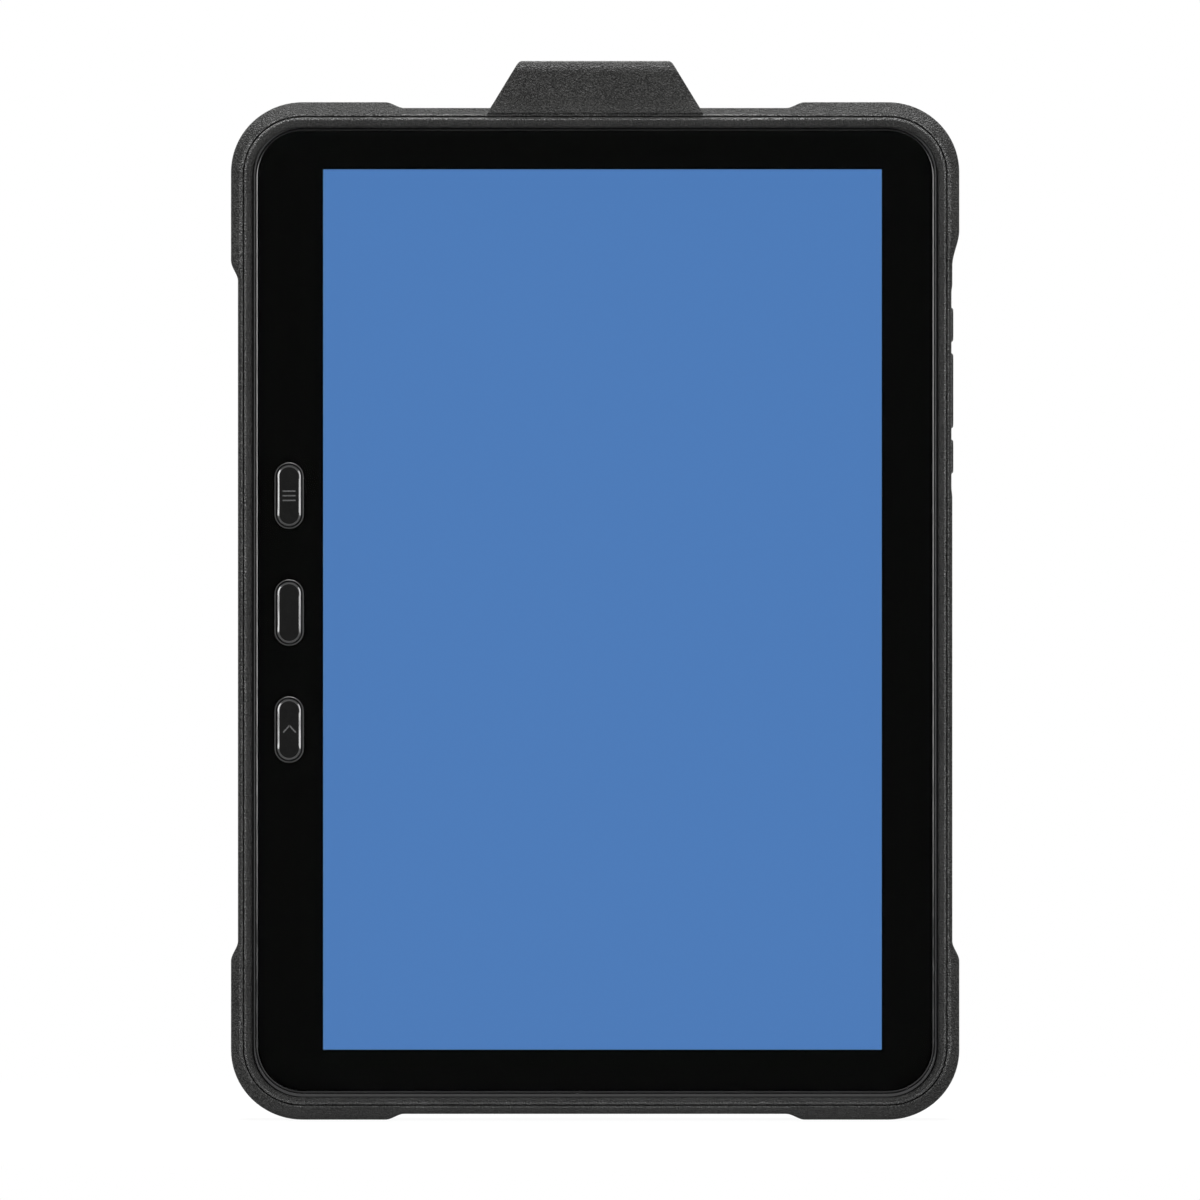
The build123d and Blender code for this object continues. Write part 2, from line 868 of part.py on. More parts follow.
def audio_notch():
    """The space that the round headset socket takes out of the plates above and below it."""
    return block(
        2 * (audio_socket_radius + socket_clearance),
        2 * (audio_socket_depth + socket_clearance),
        tablet_back,
        tablet_front,
        audio_x,
        -tablet_length / 2,
    )


def battery():
    """The flat battery pouch, which lies on the rear cover."""
    bottom = tablet_back + cover_wall + part_gap
    cell = block(battery_width, battery_length, bottom, bottom + battery_thickness, 0, battery_y)
    return fillet(cell.edges().filter_by(Axis.Z), 2.0)


def main_board():
    """The circuit board under the sockets, with a hole for the camera."""
    top = port_level - usb_socket_height / 2 - part_gap
    y = -tablet_length / 2 + cover_wall + board_edge_gap + board_length / 2
    board = slab(board_width, board_length, 3.0, top - board_thickness, top, 0, y)
    board -= rod(camera_radius + camera_bezel_wall + 1, 0, top + 1, camera_x, camera_y)
    return board - audio_notch()


def usb_socket():
    """The metal shell of the charging socket, open towards the lower end."""
    end = -tablet_length / 2 + socket_recess
    outer = Rot(90, 0, 0) * extrude(
        RectangleRounded(usb_socket_width, usb_socket_height, usb_socket_height / 2 - 0.01),
        usb_socket_depth,
    )
    inner = Rot(90, 0, 0) * extrude(
        RectangleRounded(
            usb_socket_width - 2 * usb_socket_wall,
            usb_socket_height - 2 * usb_socket_wall,
            usb_socket_height / 2 - usb_socket_wall - 0.01,
        ),
        usb_socket_depth - 2 * usb_socket_wall,
    )
    tongue_length = usb_socket_depth - 4 * usb_socket_wall
    tongue = Box(usb_tongue_width, tongue_length, usb_tongue_thickness)
    tongue = Pos(0, -2 * usb_socket_wall - tongue_length / 2, 0) * tongue
    socket = outer - Pos(0, -2 * usb_socket_wall, 0) * inner + tongue
    return Pos(usb_x, end + usb_socket_depth, port_level) * socket


def audio_socket():
    """The round headset socket beside it."""
    end = -tablet_length / 2 + socket_recess
    barrel = Rot(90, 0, 0) * Cylinder(audio_socket_radius, audio_socket_depth)
    bore = Rot(90, 0, 0) * Cylinder(audio_bore_radius, audio_socket_depth)
    return Pos(audio_x, end + audio_socket_depth / 2, port_level) * (barrel - Pos(0, -1, 0) * bore)


def camera_bezel():
    """The metal ring round the rear camera."""
    outer = camera_radius + camera_bezel_wall
    ring = rod(outer, tablet_back - camera_proud, tablet_back + camera_depth, camera_x, camera_y)
    ring = chamfer(ring.edges().group_by(Axis.Z)[0], 0.3)
    return ring - rod(camera_radius, tablet_back - 1, tablet_back + camera_depth + 1, camera_x, camera_y)


def camera_lens():
    """The camera: its cover glass and the barrel behind it."""
    lens = rod(
        camera_radius - part_gap, tablet_back, tablet_back + camera_depth, camera_x, camera_y
    )
    barrel = rod(camera_radius - 1.2, tablet_back, chassis_back - 4 * part_gap, camera_x, camera_y)
    return lens + barrel


def flash_lens():
    """The lamp beside the camera."""
    lens = rod(flash_radius, tablet_back, tablet_back + camera_depth, camera_x, camera_y + flash_pitch)
    return chamfer(lens.edges().group_by(Axis.Z)[0], 0.3)


def key_trims():
    """Three thin polished rings, one round each key."""
    rings = []
    for y in key_places():
        width, length = front_key_width + 2 * trim_gap, front_key_length + 2 * trim_gap
        grow = 2 * trim_wall
        ring = pill(width + grow, length + grow, bezel_back, tablet_front + 0.1, front_key_x, y)
        ring -= pill(width, length, bezel_back - 1, tablet_front + 1, front_key_x, y)
        rings.append(ring)
    return Part() + rings


def front_key(y):
    """One push key: a pill with a softened rim."""
    top = tablet_front + front_key_proud
    bottom = screen_back + front_key_travel + 2 * part_gap
    key = pill(front_key_width, front_key_length, bottom, top, front_key_x, y)
    return chamfer(key.edges().group_by(Axis.Z)[-1], front_key_crown)


def side_key_slots():
    """The slots in the tablet's side that its own side keys move in."""
    depth = side_key_depth + cover_travel + side_key_clearance
    slots = []
    for y, length in zip(cover_y, cover_length):
        slot = Box(
            depth,
            length - side_key_shorter + 2 * side_key_clearance,
            side_key_width + 2 * side_key_clearance,
            align=(Align.MAX, Align.CENTER, Align.CENTER),
        )
        slots.append(Pos(side_key_x + 1, y, cover_level) * (slot + Pos(-1, 0, 0) * slot))
    pins = pivot_pin(side_key_pivot_x(), side_key_width + 2 * pivot_clearance)
    slots.append(Pos(0, 0, 0) * pins + Pos(pivot_radius, 0, 0) * pins)
    return Part() + slots


def side_key(y, length):
    """One of the tablet's own side keys, behind a cover of the case."""
    key = Box(
        side_key_proud + side_key_depth,
        length - side_key_shorter,
        side_key_width,
        align=(Align.MAX, Align.CENTER, Align.CENTER),
    )
    key = Pos(side_key_x + side_key_proud, y, cover_level) * key
    if y == cover_y[1]:
        key += pivot_pin(side_key_pivot_x(), side_key_width)
    return key


def side_key_pivot_x():
    """Where the tablet's volume key rocks: the middle of its depth."""
    return side_key_x - side_key_depth / 2


stand_up = Pos(0, depth_middle, bumper_length / 2) * Rot(90, 0, 0)

pieces = {
    "outer_shell": outer_shell(),
    "back_plate": back_plate(),
    "stylus_sleeve": stylus_sleeve(),
    "front_ring": front_ring(),
    "swivel_disc": swivel_disc(),
    "swivel_retainer": retainer_plate(),
    "swivel_screws": retainer_screws(),
    "slip_washer": slip_washer(),
    "hand_strap": hand_strap(),
    "hand_pad": hand_pad(),
    "pull_tabs": pull_tabs(),
    "tablet_rear_cover": tablet_rear_cover(),
    "tablet_frame": tablet_frame(),
    "cover_glass": cover_glass(),
    "bezel_mask": bezel_mask(),
    "display_panel": display_panel(),
    "tablet_chassis": chassis(),
    "key_trims": key_trims(),
    "battery": battery(),
    "main_board": main_board(),
    "usb_socket": usb_socket(),
    "audio_socket": audio_socket(),
    "camera_bezel": camera_bezel(),
    "camera_lens": camera_lens(),
    "flash_lens": flash_lens(),
}
for name, y in zip(("recents_key", "home_key", "back_key"), key_places()):
    pieces[name] = front_key(y)
for name, y, length in zip(("power", "volume", "shortcut"), cover_y, cover_length):
    pieces[name + "_cover"] = key_cover(y, length)
    pieces["tablet_" + name + "_key"] = side_key(y, length)

for name, piece in pieces.items():
    export_step(stand_up * piece, f"parts/{name}.step")
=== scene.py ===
"""A rugged case for a ten-inch tablet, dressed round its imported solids: soft shell and bumpers, stiff
back plate, snap-in front ring, stylus sleeve, key covers, swivelling hand strap, and the tablet inside."""
import math

import bmesh
import bpy
import numpy as np
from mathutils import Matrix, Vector


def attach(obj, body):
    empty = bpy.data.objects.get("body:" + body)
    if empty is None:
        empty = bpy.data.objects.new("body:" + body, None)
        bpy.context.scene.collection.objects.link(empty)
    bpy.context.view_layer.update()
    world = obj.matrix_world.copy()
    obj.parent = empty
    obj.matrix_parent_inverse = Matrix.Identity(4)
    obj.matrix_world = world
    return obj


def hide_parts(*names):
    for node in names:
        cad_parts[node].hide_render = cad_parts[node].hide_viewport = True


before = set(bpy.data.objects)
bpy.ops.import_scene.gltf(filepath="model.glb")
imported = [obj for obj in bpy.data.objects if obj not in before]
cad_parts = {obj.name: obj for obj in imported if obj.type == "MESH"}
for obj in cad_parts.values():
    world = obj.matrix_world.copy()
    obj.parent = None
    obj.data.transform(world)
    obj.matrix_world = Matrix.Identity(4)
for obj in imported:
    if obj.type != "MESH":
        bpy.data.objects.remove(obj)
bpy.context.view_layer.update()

# ---------------------------------------------------------------- the soft shell
# The walls and the four corner bumpers are one moulding in soft, finely grained dark plastic, open at
# the back where the stiff plate closes it. The ring's pocket runs round its front edge.
MM = 0.001
MIDDLE = 125.8
FLOOR = -9.15

body_width, body_length, body_corner = 176.5, 248.6, 15.9
wall, end_wall = body_width / 2, body_length / 2
bumper_side, bumper_end, bumper_lean, bumper_foot = 1.72, 1.48, 1.3, 1.6
side_step, side_step_half = 84.0, 2.5
long_step, long_step_half = 89.6, 4.4
end_step, end_step_half = 49.5, 2.3
panel_low, panel_high, panel_edge, panel_sink = 29.25, 79.75, 1.2, 0.22
cover_places = ((70.8, 8.9), (54.5, 19.0), (38.2, 8.9))
cover_level, cover_width = 4.6, 4.6
flange_width, flange_longer, flange_seat = 6.4, 1.8, 1.58
pin_slot, pin_seat = (7.5, 0.9), 1.85
ports = (((9.0, 4.8), (13.0, 6.4), 2.4), ((-13.0, 4.8), (7.2, 7.2), 3.59))


def place(across, up, depth):
    """Metres in the case's frame from millimetres across it, up from its middle, and out from its floor."""
    across, up, depth = np.broadcast_arrays(across, up, depth)
    return np.stack([across * MM, (FLOOR - depth) * MM, (MIDDLE + up) * MM], -1)


def ease(value, low, high):
    """Smooth step: 0 below low, 1 above high, and 3t^2 - 2t^3 between."""
    t = np.clip((value - low) / (high - low), 0, 1)
    return t * t * (3 - 2 * t)


def round_route(along, across, turn):
    """The way round a rounded rectangle, anticlockwise from the foot of its right side.

    along and across say where the points of a long and a short side stand, from -1 to 1, and turn is the
    number of steps in a corner. Each point is a corner of the inner rectangle, or a place between two
    corners, and the direction it looks out in.
    """
    quarter = np.linspace(0, 90, turn + 1)[1:-1]
    one_along, one_across, one_turn = np.ones_like(along), np.ones_like(across), np.ones_like(quarter)
    x = [one_along, one_turn, -across, -one_turn, -one_along, -one_turn, across, one_turn]
    y = [along, one_turn, one_across, one_turn, -along, -one_turn, -one_across, -one_turn]
    starts = (0, 0, 90, 90, 180, 180, 270, 270)
    sizes = (along, quarter, across, quarter, along, quarter, across, quarter)
    turned = [start + (step if step is quarter else 0 * step) for start, step in zip(starts, sizes)]
    angle = np.radians(np.concatenate(turned))
    return np.concatenate(x), np.concatenate(y), np.cos(angle), np.sin(angle)


def carried(route, width, length, corner):
    """Rounded rectangles along a route, one row for each width, length and corner radius."""
    x, y, out_x, out_y = route
    width, length, corner = (np.atleast_1d(np.asarray(v, float))[:, None] for v in (width, length, corner))
    return x * (width / 2 - corner) + corner * out_x, y * (length / 2 - corner) + corner * out_y


def surface(name, grid, ring=True):
    """A closed mesh over rows of points: each row runs round, and the rows close on each other if ring.

    Otherwise the first and the last row are drawn together to a point. The volume's sign turns the faces
    outwards.
    """
    if not ring:
        ends = [np.broadcast_to(row.mean(0), row.shape) for row in (grid[0], grid[-1])]
        grid = np.concatenate([ends[0][None], grid, ends[1][None]])
    rows, columns = grid.shape[:2]
    index = np.arange(rows * columns).reshape(rows, columns)
    below, above = (index, np.roll(index, -1, 0)) if ring else (index[:-1], index[1:])
    faces = np.stack([below, np.roll(below, -1, 1), np.roll(above, -1, 1), above], -1).reshape(-1, 4)
    points = grid.reshape(-1, 3)
    a, b, c, d = (points[faces[:, k]] for k in range(4))
    volume = (np.cross(a, b) * c).sum() + (np.cross(a, c) * d).sum()
    faces = faces if volume > 0 else faces[:, ::-1]
    mesh = bpy.data.meshes.new(name)
    mesh.from_pydata(points, [], faces.tolist())
    work = bmesh.new()
    work.from_mesh(mesh)
    bmesh.ops.remove_doubles(work, verts=work.verts, dist=1e-7)
    work.to_mesh(mesh)
    work.free()
    piece = bpy.data.objects.new(name, mesh)
    bpy.context.collection.objects.link(piece)
    return piece


def tunnel(axis, centre, size, corner, low, high):
    """A bar of rounded-rectangle section along one axis between two levels, for cutting or as a tab."""
    route = round_route(np.array([-1.0, 0, 1]), np.array([-1.0, 0, 1]), 8)
    u, v = carried(route, [size[0]] * 2, [size[1]] * 2, [corner] * 2)
    w = np.broadcast_to(np.array([low, high])[:, None], u.shape)
    spots = {
        "across": (w, centre[0] + v, centre[1] + u),
        "up": (centre[0] + u, w, centre[1] + v),
        "depth": (centre[0] + u, centre[1] + v, w),
    }
    return surface("cutter", place(*spots[axis]), ring=False)


def joined(name, pieces):
    """Makes one piece of several."""
    bpy.ops.object.select_all(action="DESELECT")
    for piece in pieces:
        piece.select_set(True)
    bpy.context.view_layer.objects.active = pieces[0]
    bpy.ops.object.join()
    pieces[0].name = name
    return pieces[0]


def cut_with(piece, cutters):
    """Cuts the bars out of a piece and takes them away."""
    cutter = joined("cutter", cutters)
    boolean = piece.modifiers.new("cut", "BOOLEAN")
    boolean.object, boolean.operation, boolean.solver = cutter, "DIFFERENCE", "EXACT"
    boolean.use_self = True
    whole = bpy.data.meshes.new_from_object(piece.evaluated_get(bpy.context.evaluated_depsgraph_get()))
    piece.modifiers.clear()
    piece.data = whole
    bpy.data.objects.remove(cutter)


def smooth(piece, angle=38):
    """Rounds the shading over every edge that turns by less than an angle, led by the larger faces."""
    piece.data.shade_smooth()
    piece.data.set_sharp_from_angle(angle=math.radians(angle))
    weighted = piece.modifiers.new("even shading", "WEIGHTED_NORMAL")
    weighted.keep_sharp = True


def fit(piece, material, body, slot, *nodes):
    """Gives a piece its finish, its body and the solids that it stands for. The slot is not used."""
    piece.data.materials.clear()
    piece.data.materials.append(material)
    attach(piece, body)
    if nodes:
        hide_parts(*nodes)


def shell_profile():
    """The wall's section as rows of inset, depth on the sides and depth on the ends.

    It runs up the outer face, over the crest, down the ring's pocket and the bay's wall, round the flange
    over the plate and along the back. The crest leans further on the ends than on the sides.
    """
    outer = [(0, -1.2), (0, -0.9), (0, 1.5), (0, 5.0), (0, 8.4)]
    crest = [(0, 9.9, 8.9), (0.03, 10.3, 9.13), (0.12, 10.6, 9.35), (0.26, 10.78, 9.54), (0.45, 10.88, 9.95)]
    edge = [(0.86, 11.0, 10.8), (0.95, 11.03, 10.95), (1.08, 11.08, 11.08), (1.2, 11.13, 11.13)]
    pocket = [(1.27, 11.1), (1.3, 11.0), (1.3, 10.85), (1.3, 8.6), (1.35, 8.5), (2.75, 8.5), (2.85, 8.4)]
    bay = [(2.85, 4.0), (2.85, 0.1), (2.95, 0), (14.15, 0), (14.25, -0.1), (14.25, -1.3), (14.15, -1.4)]
    back = [(11.25, -1.4), (11.15, -1.5), (11.15, -2.5), (11.05, -2.6), (9.6, -2.6), (8.6, -2.6), (6.0, -2.6)]
    foot = [(3.6, -2.6), (1.5, -2.6), (1.3, -2.55)]
    rows = [(row[0], row[1], row[-1]) for row in outer + crest + edge + pocket + bay + back + foot]
    return np.array(rows)


def shell_grid():
    """The section carried round the case, pushed out where the bumpers are and back at their feet."""
    half_side, half_end = body_length / 2 - body_corner, body_width / 2 - body_corner
    steps = [side_step, long_step, end_step, panel_low, panel_high]
    near = [np.linspace(s - 5.5, s + 5.5, 23) for s in steps]
    side = np.concatenate([np.linspace(0, half_side, 28), near[0], near[1], near[3], near[4]]) / half_side
    end = np.concatenate([np.linspace(0, half_end, 18), near[2]]) / half_end
    along, across = (np.unique(np.round(np.concatenate([-s, s]), 5)) for s in (side, end))
    route = round_route(along, across, 20)
    inset, depth, end_depth = shell_profile().T
    knees = [0, 1.3, 2.85, 11.15, 14.25]
    end_inset = np.interp(inset, knees, [0, 2.2, 3.2, 12.2, 15.3])
    corner = np.interp(inset, knees, [15.9, 14.4, 13.2, 18.1, 15.1])
    x, y = carried(route, body_width - 2 * inset, body_length - 2 * end_inset, corner)
    out_x, out_y = route[2:]
    outer_x, outer_y = x[0], y[0]
    ordinary = ease(abs(outer_y), side_step - side_step_half, side_step + side_step_half)
    longer = ease(outer_y, long_step - long_step_half, long_step + long_step_half)
    side_zone = np.where((outer_x > 0) & (outer_y > 0), longer, ordinary)
    end_zone = ease(abs(outer_x), end_step - end_step_half, end_step + end_step_half)
    zone = np.where(abs(out_x) > 0.5, side_zone, end_zone)
    grown = zone * (bumper_side * out_x**2 + bumper_end * out_y**2)
    sunk = ease(outer_y, panel_low - panel_edge, panel_low + panel_edge)
    sunk = sunk - ease(outer_y, panel_high - panel_edge, panel_high + panel_edge)
    grown = grown - panel_sink * sunk * (out_x > 0.99)
    on_front = 1 - ease(inset, 0.2, 1.25)
    on_back = 1 - ease(inset, 1.0, 9.0)
    share = np.where(depth > 0, on_front, on_back)
    at_back = np.where(depth < -0.5, 1 - ease(inset, 8.4, 9.6), 0) * (inset < 10)
    depth = depth[:, None] + (end_depth - depth)[:, None] * out_y**2
    depth = depth - bumper_foot * zone * at_back[:, None]
    on_crest = np.where((depth[:, 0] > 7) & (inset < 1.0), on_front, 0)
    depth = depth - bumper_lean * zone * out_y**2 * on_crest[:, None]
    return place(x + out_x * grown * share[:, None], y + out_y * grown * share[:, None], depth)


def started(name):
    """A new material with its node tree, its shader and the place on the piece that patterns follow."""
    material = bpy.data.materials.new(name)
    material.use_nodes = True
    tree = material.node_tree
    spot = tree.nodes.new("ShaderNodeTexCoord").outputs["Object"]
    return material, tree, tree.nodes["Principled BSDF"], spot


def pattern(tree, spot, kind, **values):
    """A noise or a wave over the piece, with values for its inputs."""
    texture = tree.nodes.new("ShaderNodeTex" + kind)
    tree.links.new(spot, texture.inputs["Vector"])
    for name, value in values.items():
        texture.inputs[name].default_value = value
    return texture


def embossed(tree, shader, height, relief):
    """Sets a height in relief."""
    bump = tree.nodes.new("ShaderNodeBump")
    bump.inputs["Distance"].default_value = relief
    tree.links.new(height, bump.inputs["Height"])
    tree.links.new(bump.outputs["Normal"], shader.inputs["Normal"])


def tinted(tree, colour_input, height, dark, light, low=0.0, high=1.0):
    """Shades a colour from dark to light between two heights."""
    ramp = tree.nodes.new("ShaderNodeValToRGB")
    first, last = ramp.color_ramp.elements
    first.position, last.position = low, high
    first.color, last.color = (*dark, 1), (*light, 1)
    tree.links.new(height, ramp.inputs["Fac"])
    tree.links.new(ramp.outputs["Color"], colour_input)


def spread(tree, value_input, height, at_low, at_high, low=0.0, high=1.0):
    """Spreads a value from one to another between two heights."""
    level = tree.nodes.new("ShaderNodeMapRange")
    level.inputs["From Min"].default_value, level.inputs["From Max"].default_value = low, high
    level.inputs["To Min"].default_value, level.inputs["To Max"].default_value = at_low, at_high
    tree.links.new(height, level.inputs["Value"])
    tree.links.new(level.outputs["Result"], value_input)
    return level


def worked(tree, operation, first, second, added=None):
    """The sum, product or larger of two values, each a socket or a number."""
    step = tree.nodes.new("ShaderNodeMath")
    step.operation = operation
    for value, socket in zip((first, second, added), step.inputs):
        if isinstance(value, float):
            socket.default_value = value
        elif value is not None:
            tree.links.new(value, socket)
    return step.outputs[0]


def grained(name, colour, roughness, grain=2600.0, relief=0.00006, glint=0.5, fleck=0.25):
    """Moulded plastic: a fine two-scale grain in relief, painted lighter on its peaks as highlight and darker
    in its pits as shade.
    """
    material, tree, shader, spot = started(name)
    fine = pattern(tree, spot, "Noise", Scale=grain, Detail=1.0).outputs["Fac"]
    broad = pattern(tree, spot, "Noise", Scale=45.0, Detail=3.0).outputs["Fac"]
    embossed(tree, shader, fine, relief)
    # Painted highlight and shade: the colour follows the grain's height, lighter on peaks and darker in pits,
    # over a broad random tone.
    tone_painted_glints_and_shade = worked(tree, "MULTIPLY_ADD", broad, 0.25, fine)
    dark, light = ([c * share for c in colour] for share in (1 - fleck, 1 + 1.6 * fleck))
    tinted(tree, shader.inputs["Base Color"], tone_painted_glints_and_shade, dark, light, 0.5, 0.78)
    spread(tree, shader.inputs["Roughness"], fine, roughness + 0.08, roughness - 0.08, 0.35, 0.65)
    shader.inputs["Specular IOR Level"].default_value = glint
    return material


tab_side, tab_end, tab_across, tab_ups = 85.85, 121.55, (-36.3, 36.3), (-80.8, -26.9, 26.9, 80.8)
snap_thick, snap_long, snap_room = 0.9, 8.0, 0.24


def tab_spots(grown):
    """Middle and size of each of the ring's twelve tabs, four on a side and two on an end."""
    thick, long = snap_thick + grown, snap_long + grown
    spots = [((x, y), (thick, long)) for x in (-tab_side, tab_side) for y in tab_ups]
    return spots + [((x, y), (long, thick)) for y in (-tab_end, tab_end) for x in tab_across]


soft_plastic = grained(
    "soft_shell_plastic", (0.0115, 0.0115, 0.011), 0.36, relief=0.0007, glint=0.16, fleck=0.7
)
shell = surface("soft_shell", shell_grid())
openings = [tunnel("up", *port, 6 - end_wall, -3 - end_wall) for port in ports]
for middle, long in cover_places:
    spot, seat = (middle, cover_level), (flange_width, long + flange_longer)
    openings.append(tunnel("across", spot, (cover_width, long), 2.29, wall - 4, wall + 2))
    openings.append(tunnel("across", spot, seat, 0.3, wall - 4, wall - flange_seat))
openings.append(tunnel("across", (cover_places[1][0], cover_level), pin_slot, 0.1, wall - 4, wall - pin_seat))
openings += [tunnel("depth", spot, size, 0.3, 5.78, 8.7) for spot, size in tab_spots(snap_room)]
cut_with(shell, openings)
smooth(shell)
fit(shell, soft_plastic, "case", "case_soft", "outer_shell")


least_lean = 0.02


def faces_of(piece, what):
    """The centres or the normals of a piece's faces, one row each."""
    values = np.empty(3 * len(piece.data.polygons))
    piece.data.polygons.foreach_get(what, values)
    return values.reshape(-1, 3)


def finished(piece, finish, chosen):
    """Puts a second finish on the chosen faces of a piece."""
    piece.data.materials.append(finish)
    piece.data.polygons.foreach_set("material_index", chosen.astype(np.int32))


def edge_highlighted(piece, finish, front_of):
    """Gives a piece's outer front edge a glossier finish of its own, whose lighter colour is a painted
    highlight: faces in front of a depth that lean outwards.

    The lean is the face's direction times its place from the middle, in halves of the case's size.
    """
    x, y, z = faces_of(piece, "center").T
    out_x, out_y, out_z = faces_of(piece, "normal").T
    lean = (x * out_x / body_width + (z - MIDDLE * MM) * out_z / body_length) / MM
    finished(piece, finish, (FLOOR - y / MM > front_of) & (-out_y > 0.3) & (lean > least_lean))


# A glossier plastic for the outer front edges; its lighter colour and strong flecks are a painted highlight.
edge_highlight_plastic = grained(
    "glossy_edge_highlight_plastic", (0.02, 0.02, 0.0195), 0.24, relief=0.0012, glint=0.45, fleck=0.95
)
edge_highlighted(shell, edge_highlight_plastic, 11.0)

# ---------------------------------------------------------------- the back plate
# A stiff stepped plate in harder plastic, set into the shell's flange from behind. It carries the
# swivel's boss, the grip ribs, the speaker slots and the rim round the camera.


def softened(node, name, edge, angle=32, steps=2):
    """A copy of a solid with its triangles joined back into faces and its sharp edges rounded off."""
    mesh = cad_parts[node].data.copy()
    work = bmesh.new()
    work.from_mesh(mesh)
    bmesh.ops.remove_doubles(work, verts=work.verts, dist=2e-6)
    bmesh.ops.dissolve_limit(work, angle_limit=math.radians(0.6), verts=work.verts, edges=work.edges)
    paired = [e for e in work.edges if len(e.link_faces) == 2]
    sharp = [e for e in paired if e.calc_face_angle(0) > math.radians(angle)]
    bmesh.ops.bevel(
        work, geom=sharp, offset=edge * MM, offset_type="OFFSET", segments=steps, profile=0.5, affect="EDGES",
        clamp_overlap=False,
    )
    work.to_mesh(mesh)
    work.free()
    mesh.name = name
    piece = bpy.data.objects.new(name, mesh)
    bpy.context.collection.objects.link(piece)
    smooth(piece)
    return piece


stiff_plastic = grained(
    "stiff_case_plastic", (0.014, 0.014, 0.014), 0.38, relief=0.0003, glint=0.2, fleck=0.5
)
plate = softened("back_plate", "stiff_back_plate", 0.22)
fit(plate, stiff_plastic, "case", "case_stiff", "back_plate")

# ---------------------------------------------------------------- the stylus sleeve
# A loop in the same soft plastic across the middle of the top wall, let into a notch in the shell. It is
# open at both ends and holds a stylus by its barrel.
sleeve = softened("stylus_sleeve", "soft_stylus_sleeve", 0.35, steps=3)
fit(sleeve, soft_plastic, "case", "case_soft", "stylus_sleeve")

# ---------------------------------------------------------------- the front ring
# A thin stiff ring snapped into the shell's front pocket by tabs. Its rounded crest falls in a smooth
# slope to the lip over the tablet's edge.
ring_width, ring_length, ring_corner = 173.5, 243.8, 14.2
lip_shift = -0.4


def ring_profile():
    """The ring's section: inset on the sides, inset on the ends, depth and share of the lip's shift."""
    crest = [(0, 0, 11.2), (0.03, 0.03, 11.34), (0.16, 0.16, 11.5), (0.42, 0.44, 11.66), (0.6, 0.7, 11.7)]
    slope = [(0.8, 0.95, 11.69), (1.15, 1.3, 11.63), (1.5, 1.65, 11.53), (1.78, 1.93, 11.36)]
    lip = [(1.95, 2.09, 11.12), (2.06, 2.18, 10.85), (2.1, 2.22, 10.5), (2.02, 2.15, 10.32), (1.9, 2.0, 10.3)]
    skirt = [(1.5, 0.95, 10.3), (1.4, 0.85, 10.2), (1.38, 0.83, 8.7), (1.25, 0.7, 8.55)]
    foot = [(0.12, 0.12, 8.55), (0, 0, 8.7)]
    rows = np.array(crest + slope + lip + skirt + foot)
    shift = ease(rows[:, 0], 0.8, 2.0) * (rows[:, 2] > 10.25)
    return *rows.T, shift


ring_side, ring_end, ring_depth, ring_shift = ring_profile()
ring_route = round_route(np.linspace(-1, 1, 61), np.linspace(-1, 1, 41), 16)
ring_x, ring_y = carried(
    ring_route, ring_width - 2 * ring_side, ring_length - 2 * ring_end, ring_corner - ring_side * 0.98
)
ring_grid = place(ring_x, ring_y + (lip_shift * ring_shift)[:, None], ring_depth[:, None])
ring = surface("front_ring_moulding", ring_grid)
tabs = [tunnel("depth", spot, size, 0.2, 5.9, 8.9) for spot, size in tab_spots(0)]
ring = joined("front_ring_moulding", [ring] + tabs)
ring_plastic = grained(
    "front_ring_plastic", (0.0095, 0.0095, 0.0092), 0.36, relief=0.0004, glint=0.14, fleck=0.6
)
smooth(ring)
fit(ring, ring_plastic, "front_ring", "ring_stiff", "front_ring")
# The ring's outer front edge gets the same painted highlight.
edge_highlighted(ring, edge_highlight_plastic, 11.2)

# ---------------------------------------------------------------- the key covers
# Three soft push covers in the sunk panel of the right-hand wall. Each has a flange behind the wall, and
# the long one rocks on two stub pins.
for word in ("power", "volume", "shortcut"):
    cover = softened(word + "_cover", "soft_" + word + "_cover", 0.15)
    fit(cover, soft_plastic, word + "_cover", "case_soft", word + "_cover")

# ---------------------------------------------------------------- the swivel
# A disc turns on the back plate's boss over a slippery washer. Three countersunk screws hold it through
# its hub to a retaining plate inside the floor.
disc = softened("swivel_disc", "turning_disc", 0.3)
fit(disc, stiff_plastic, "hand_strap_swivel", "case_stiff", "swivel_disc")
retainer = softened("swivel_retainer", "retaining_plate", 0.12)
fit(retainer, stiff_plastic, "hand_strap_swivel", "case_stiff", "swivel_retainer")


def metal(name, colour, roughness):
    """Plain metal with faint turned or rolled unevenness in its roughness."""
    material, tree, shader, spot = started(name)
    shader.inputs["Metallic"].default_value = 1.0
    scratches = pattern(tree, spot, "Noise", Scale=900.0, Detail=4.0).outputs["Fac"]
    spread(tree, shader.inputs["Roughness"], scratches, roughness * 0.7, roughness * 1.3)
    dark, light = [c * 0.85 for c in colour], [min(c * 1.1, 1) for c in colour]
    tinted(tree, shader.inputs["Base Color"], scratches, dark, light)
    return material


steel = metal("zinc_plated_steel", (0.55, 0.55, 0.56), 0.28)
screws = softened("swivel_screws", "countersunk_screws", 0.06)
fit(screws, steel, "hand_strap_swivel", "screw_steel", "swivel_screws")
slippery = grained("slippery_washer_plastic", (0.62, 0.62, 0.6), 0.4, grain=700.0, relief=0.00001, fleck=0.05)
washer = softened("slip_washer", "slippery_washer", 0.05)
fit(washer, slippery, "case", "washer_plastic", "slip_washer")

# ---------------------------------------------------------------- the hand strap
# Elastic webbing bowed out from slot to slot of the disc, looped round a bar at each end, with a cushioned
# pad under it and a rubbery pull tab on each folded end.


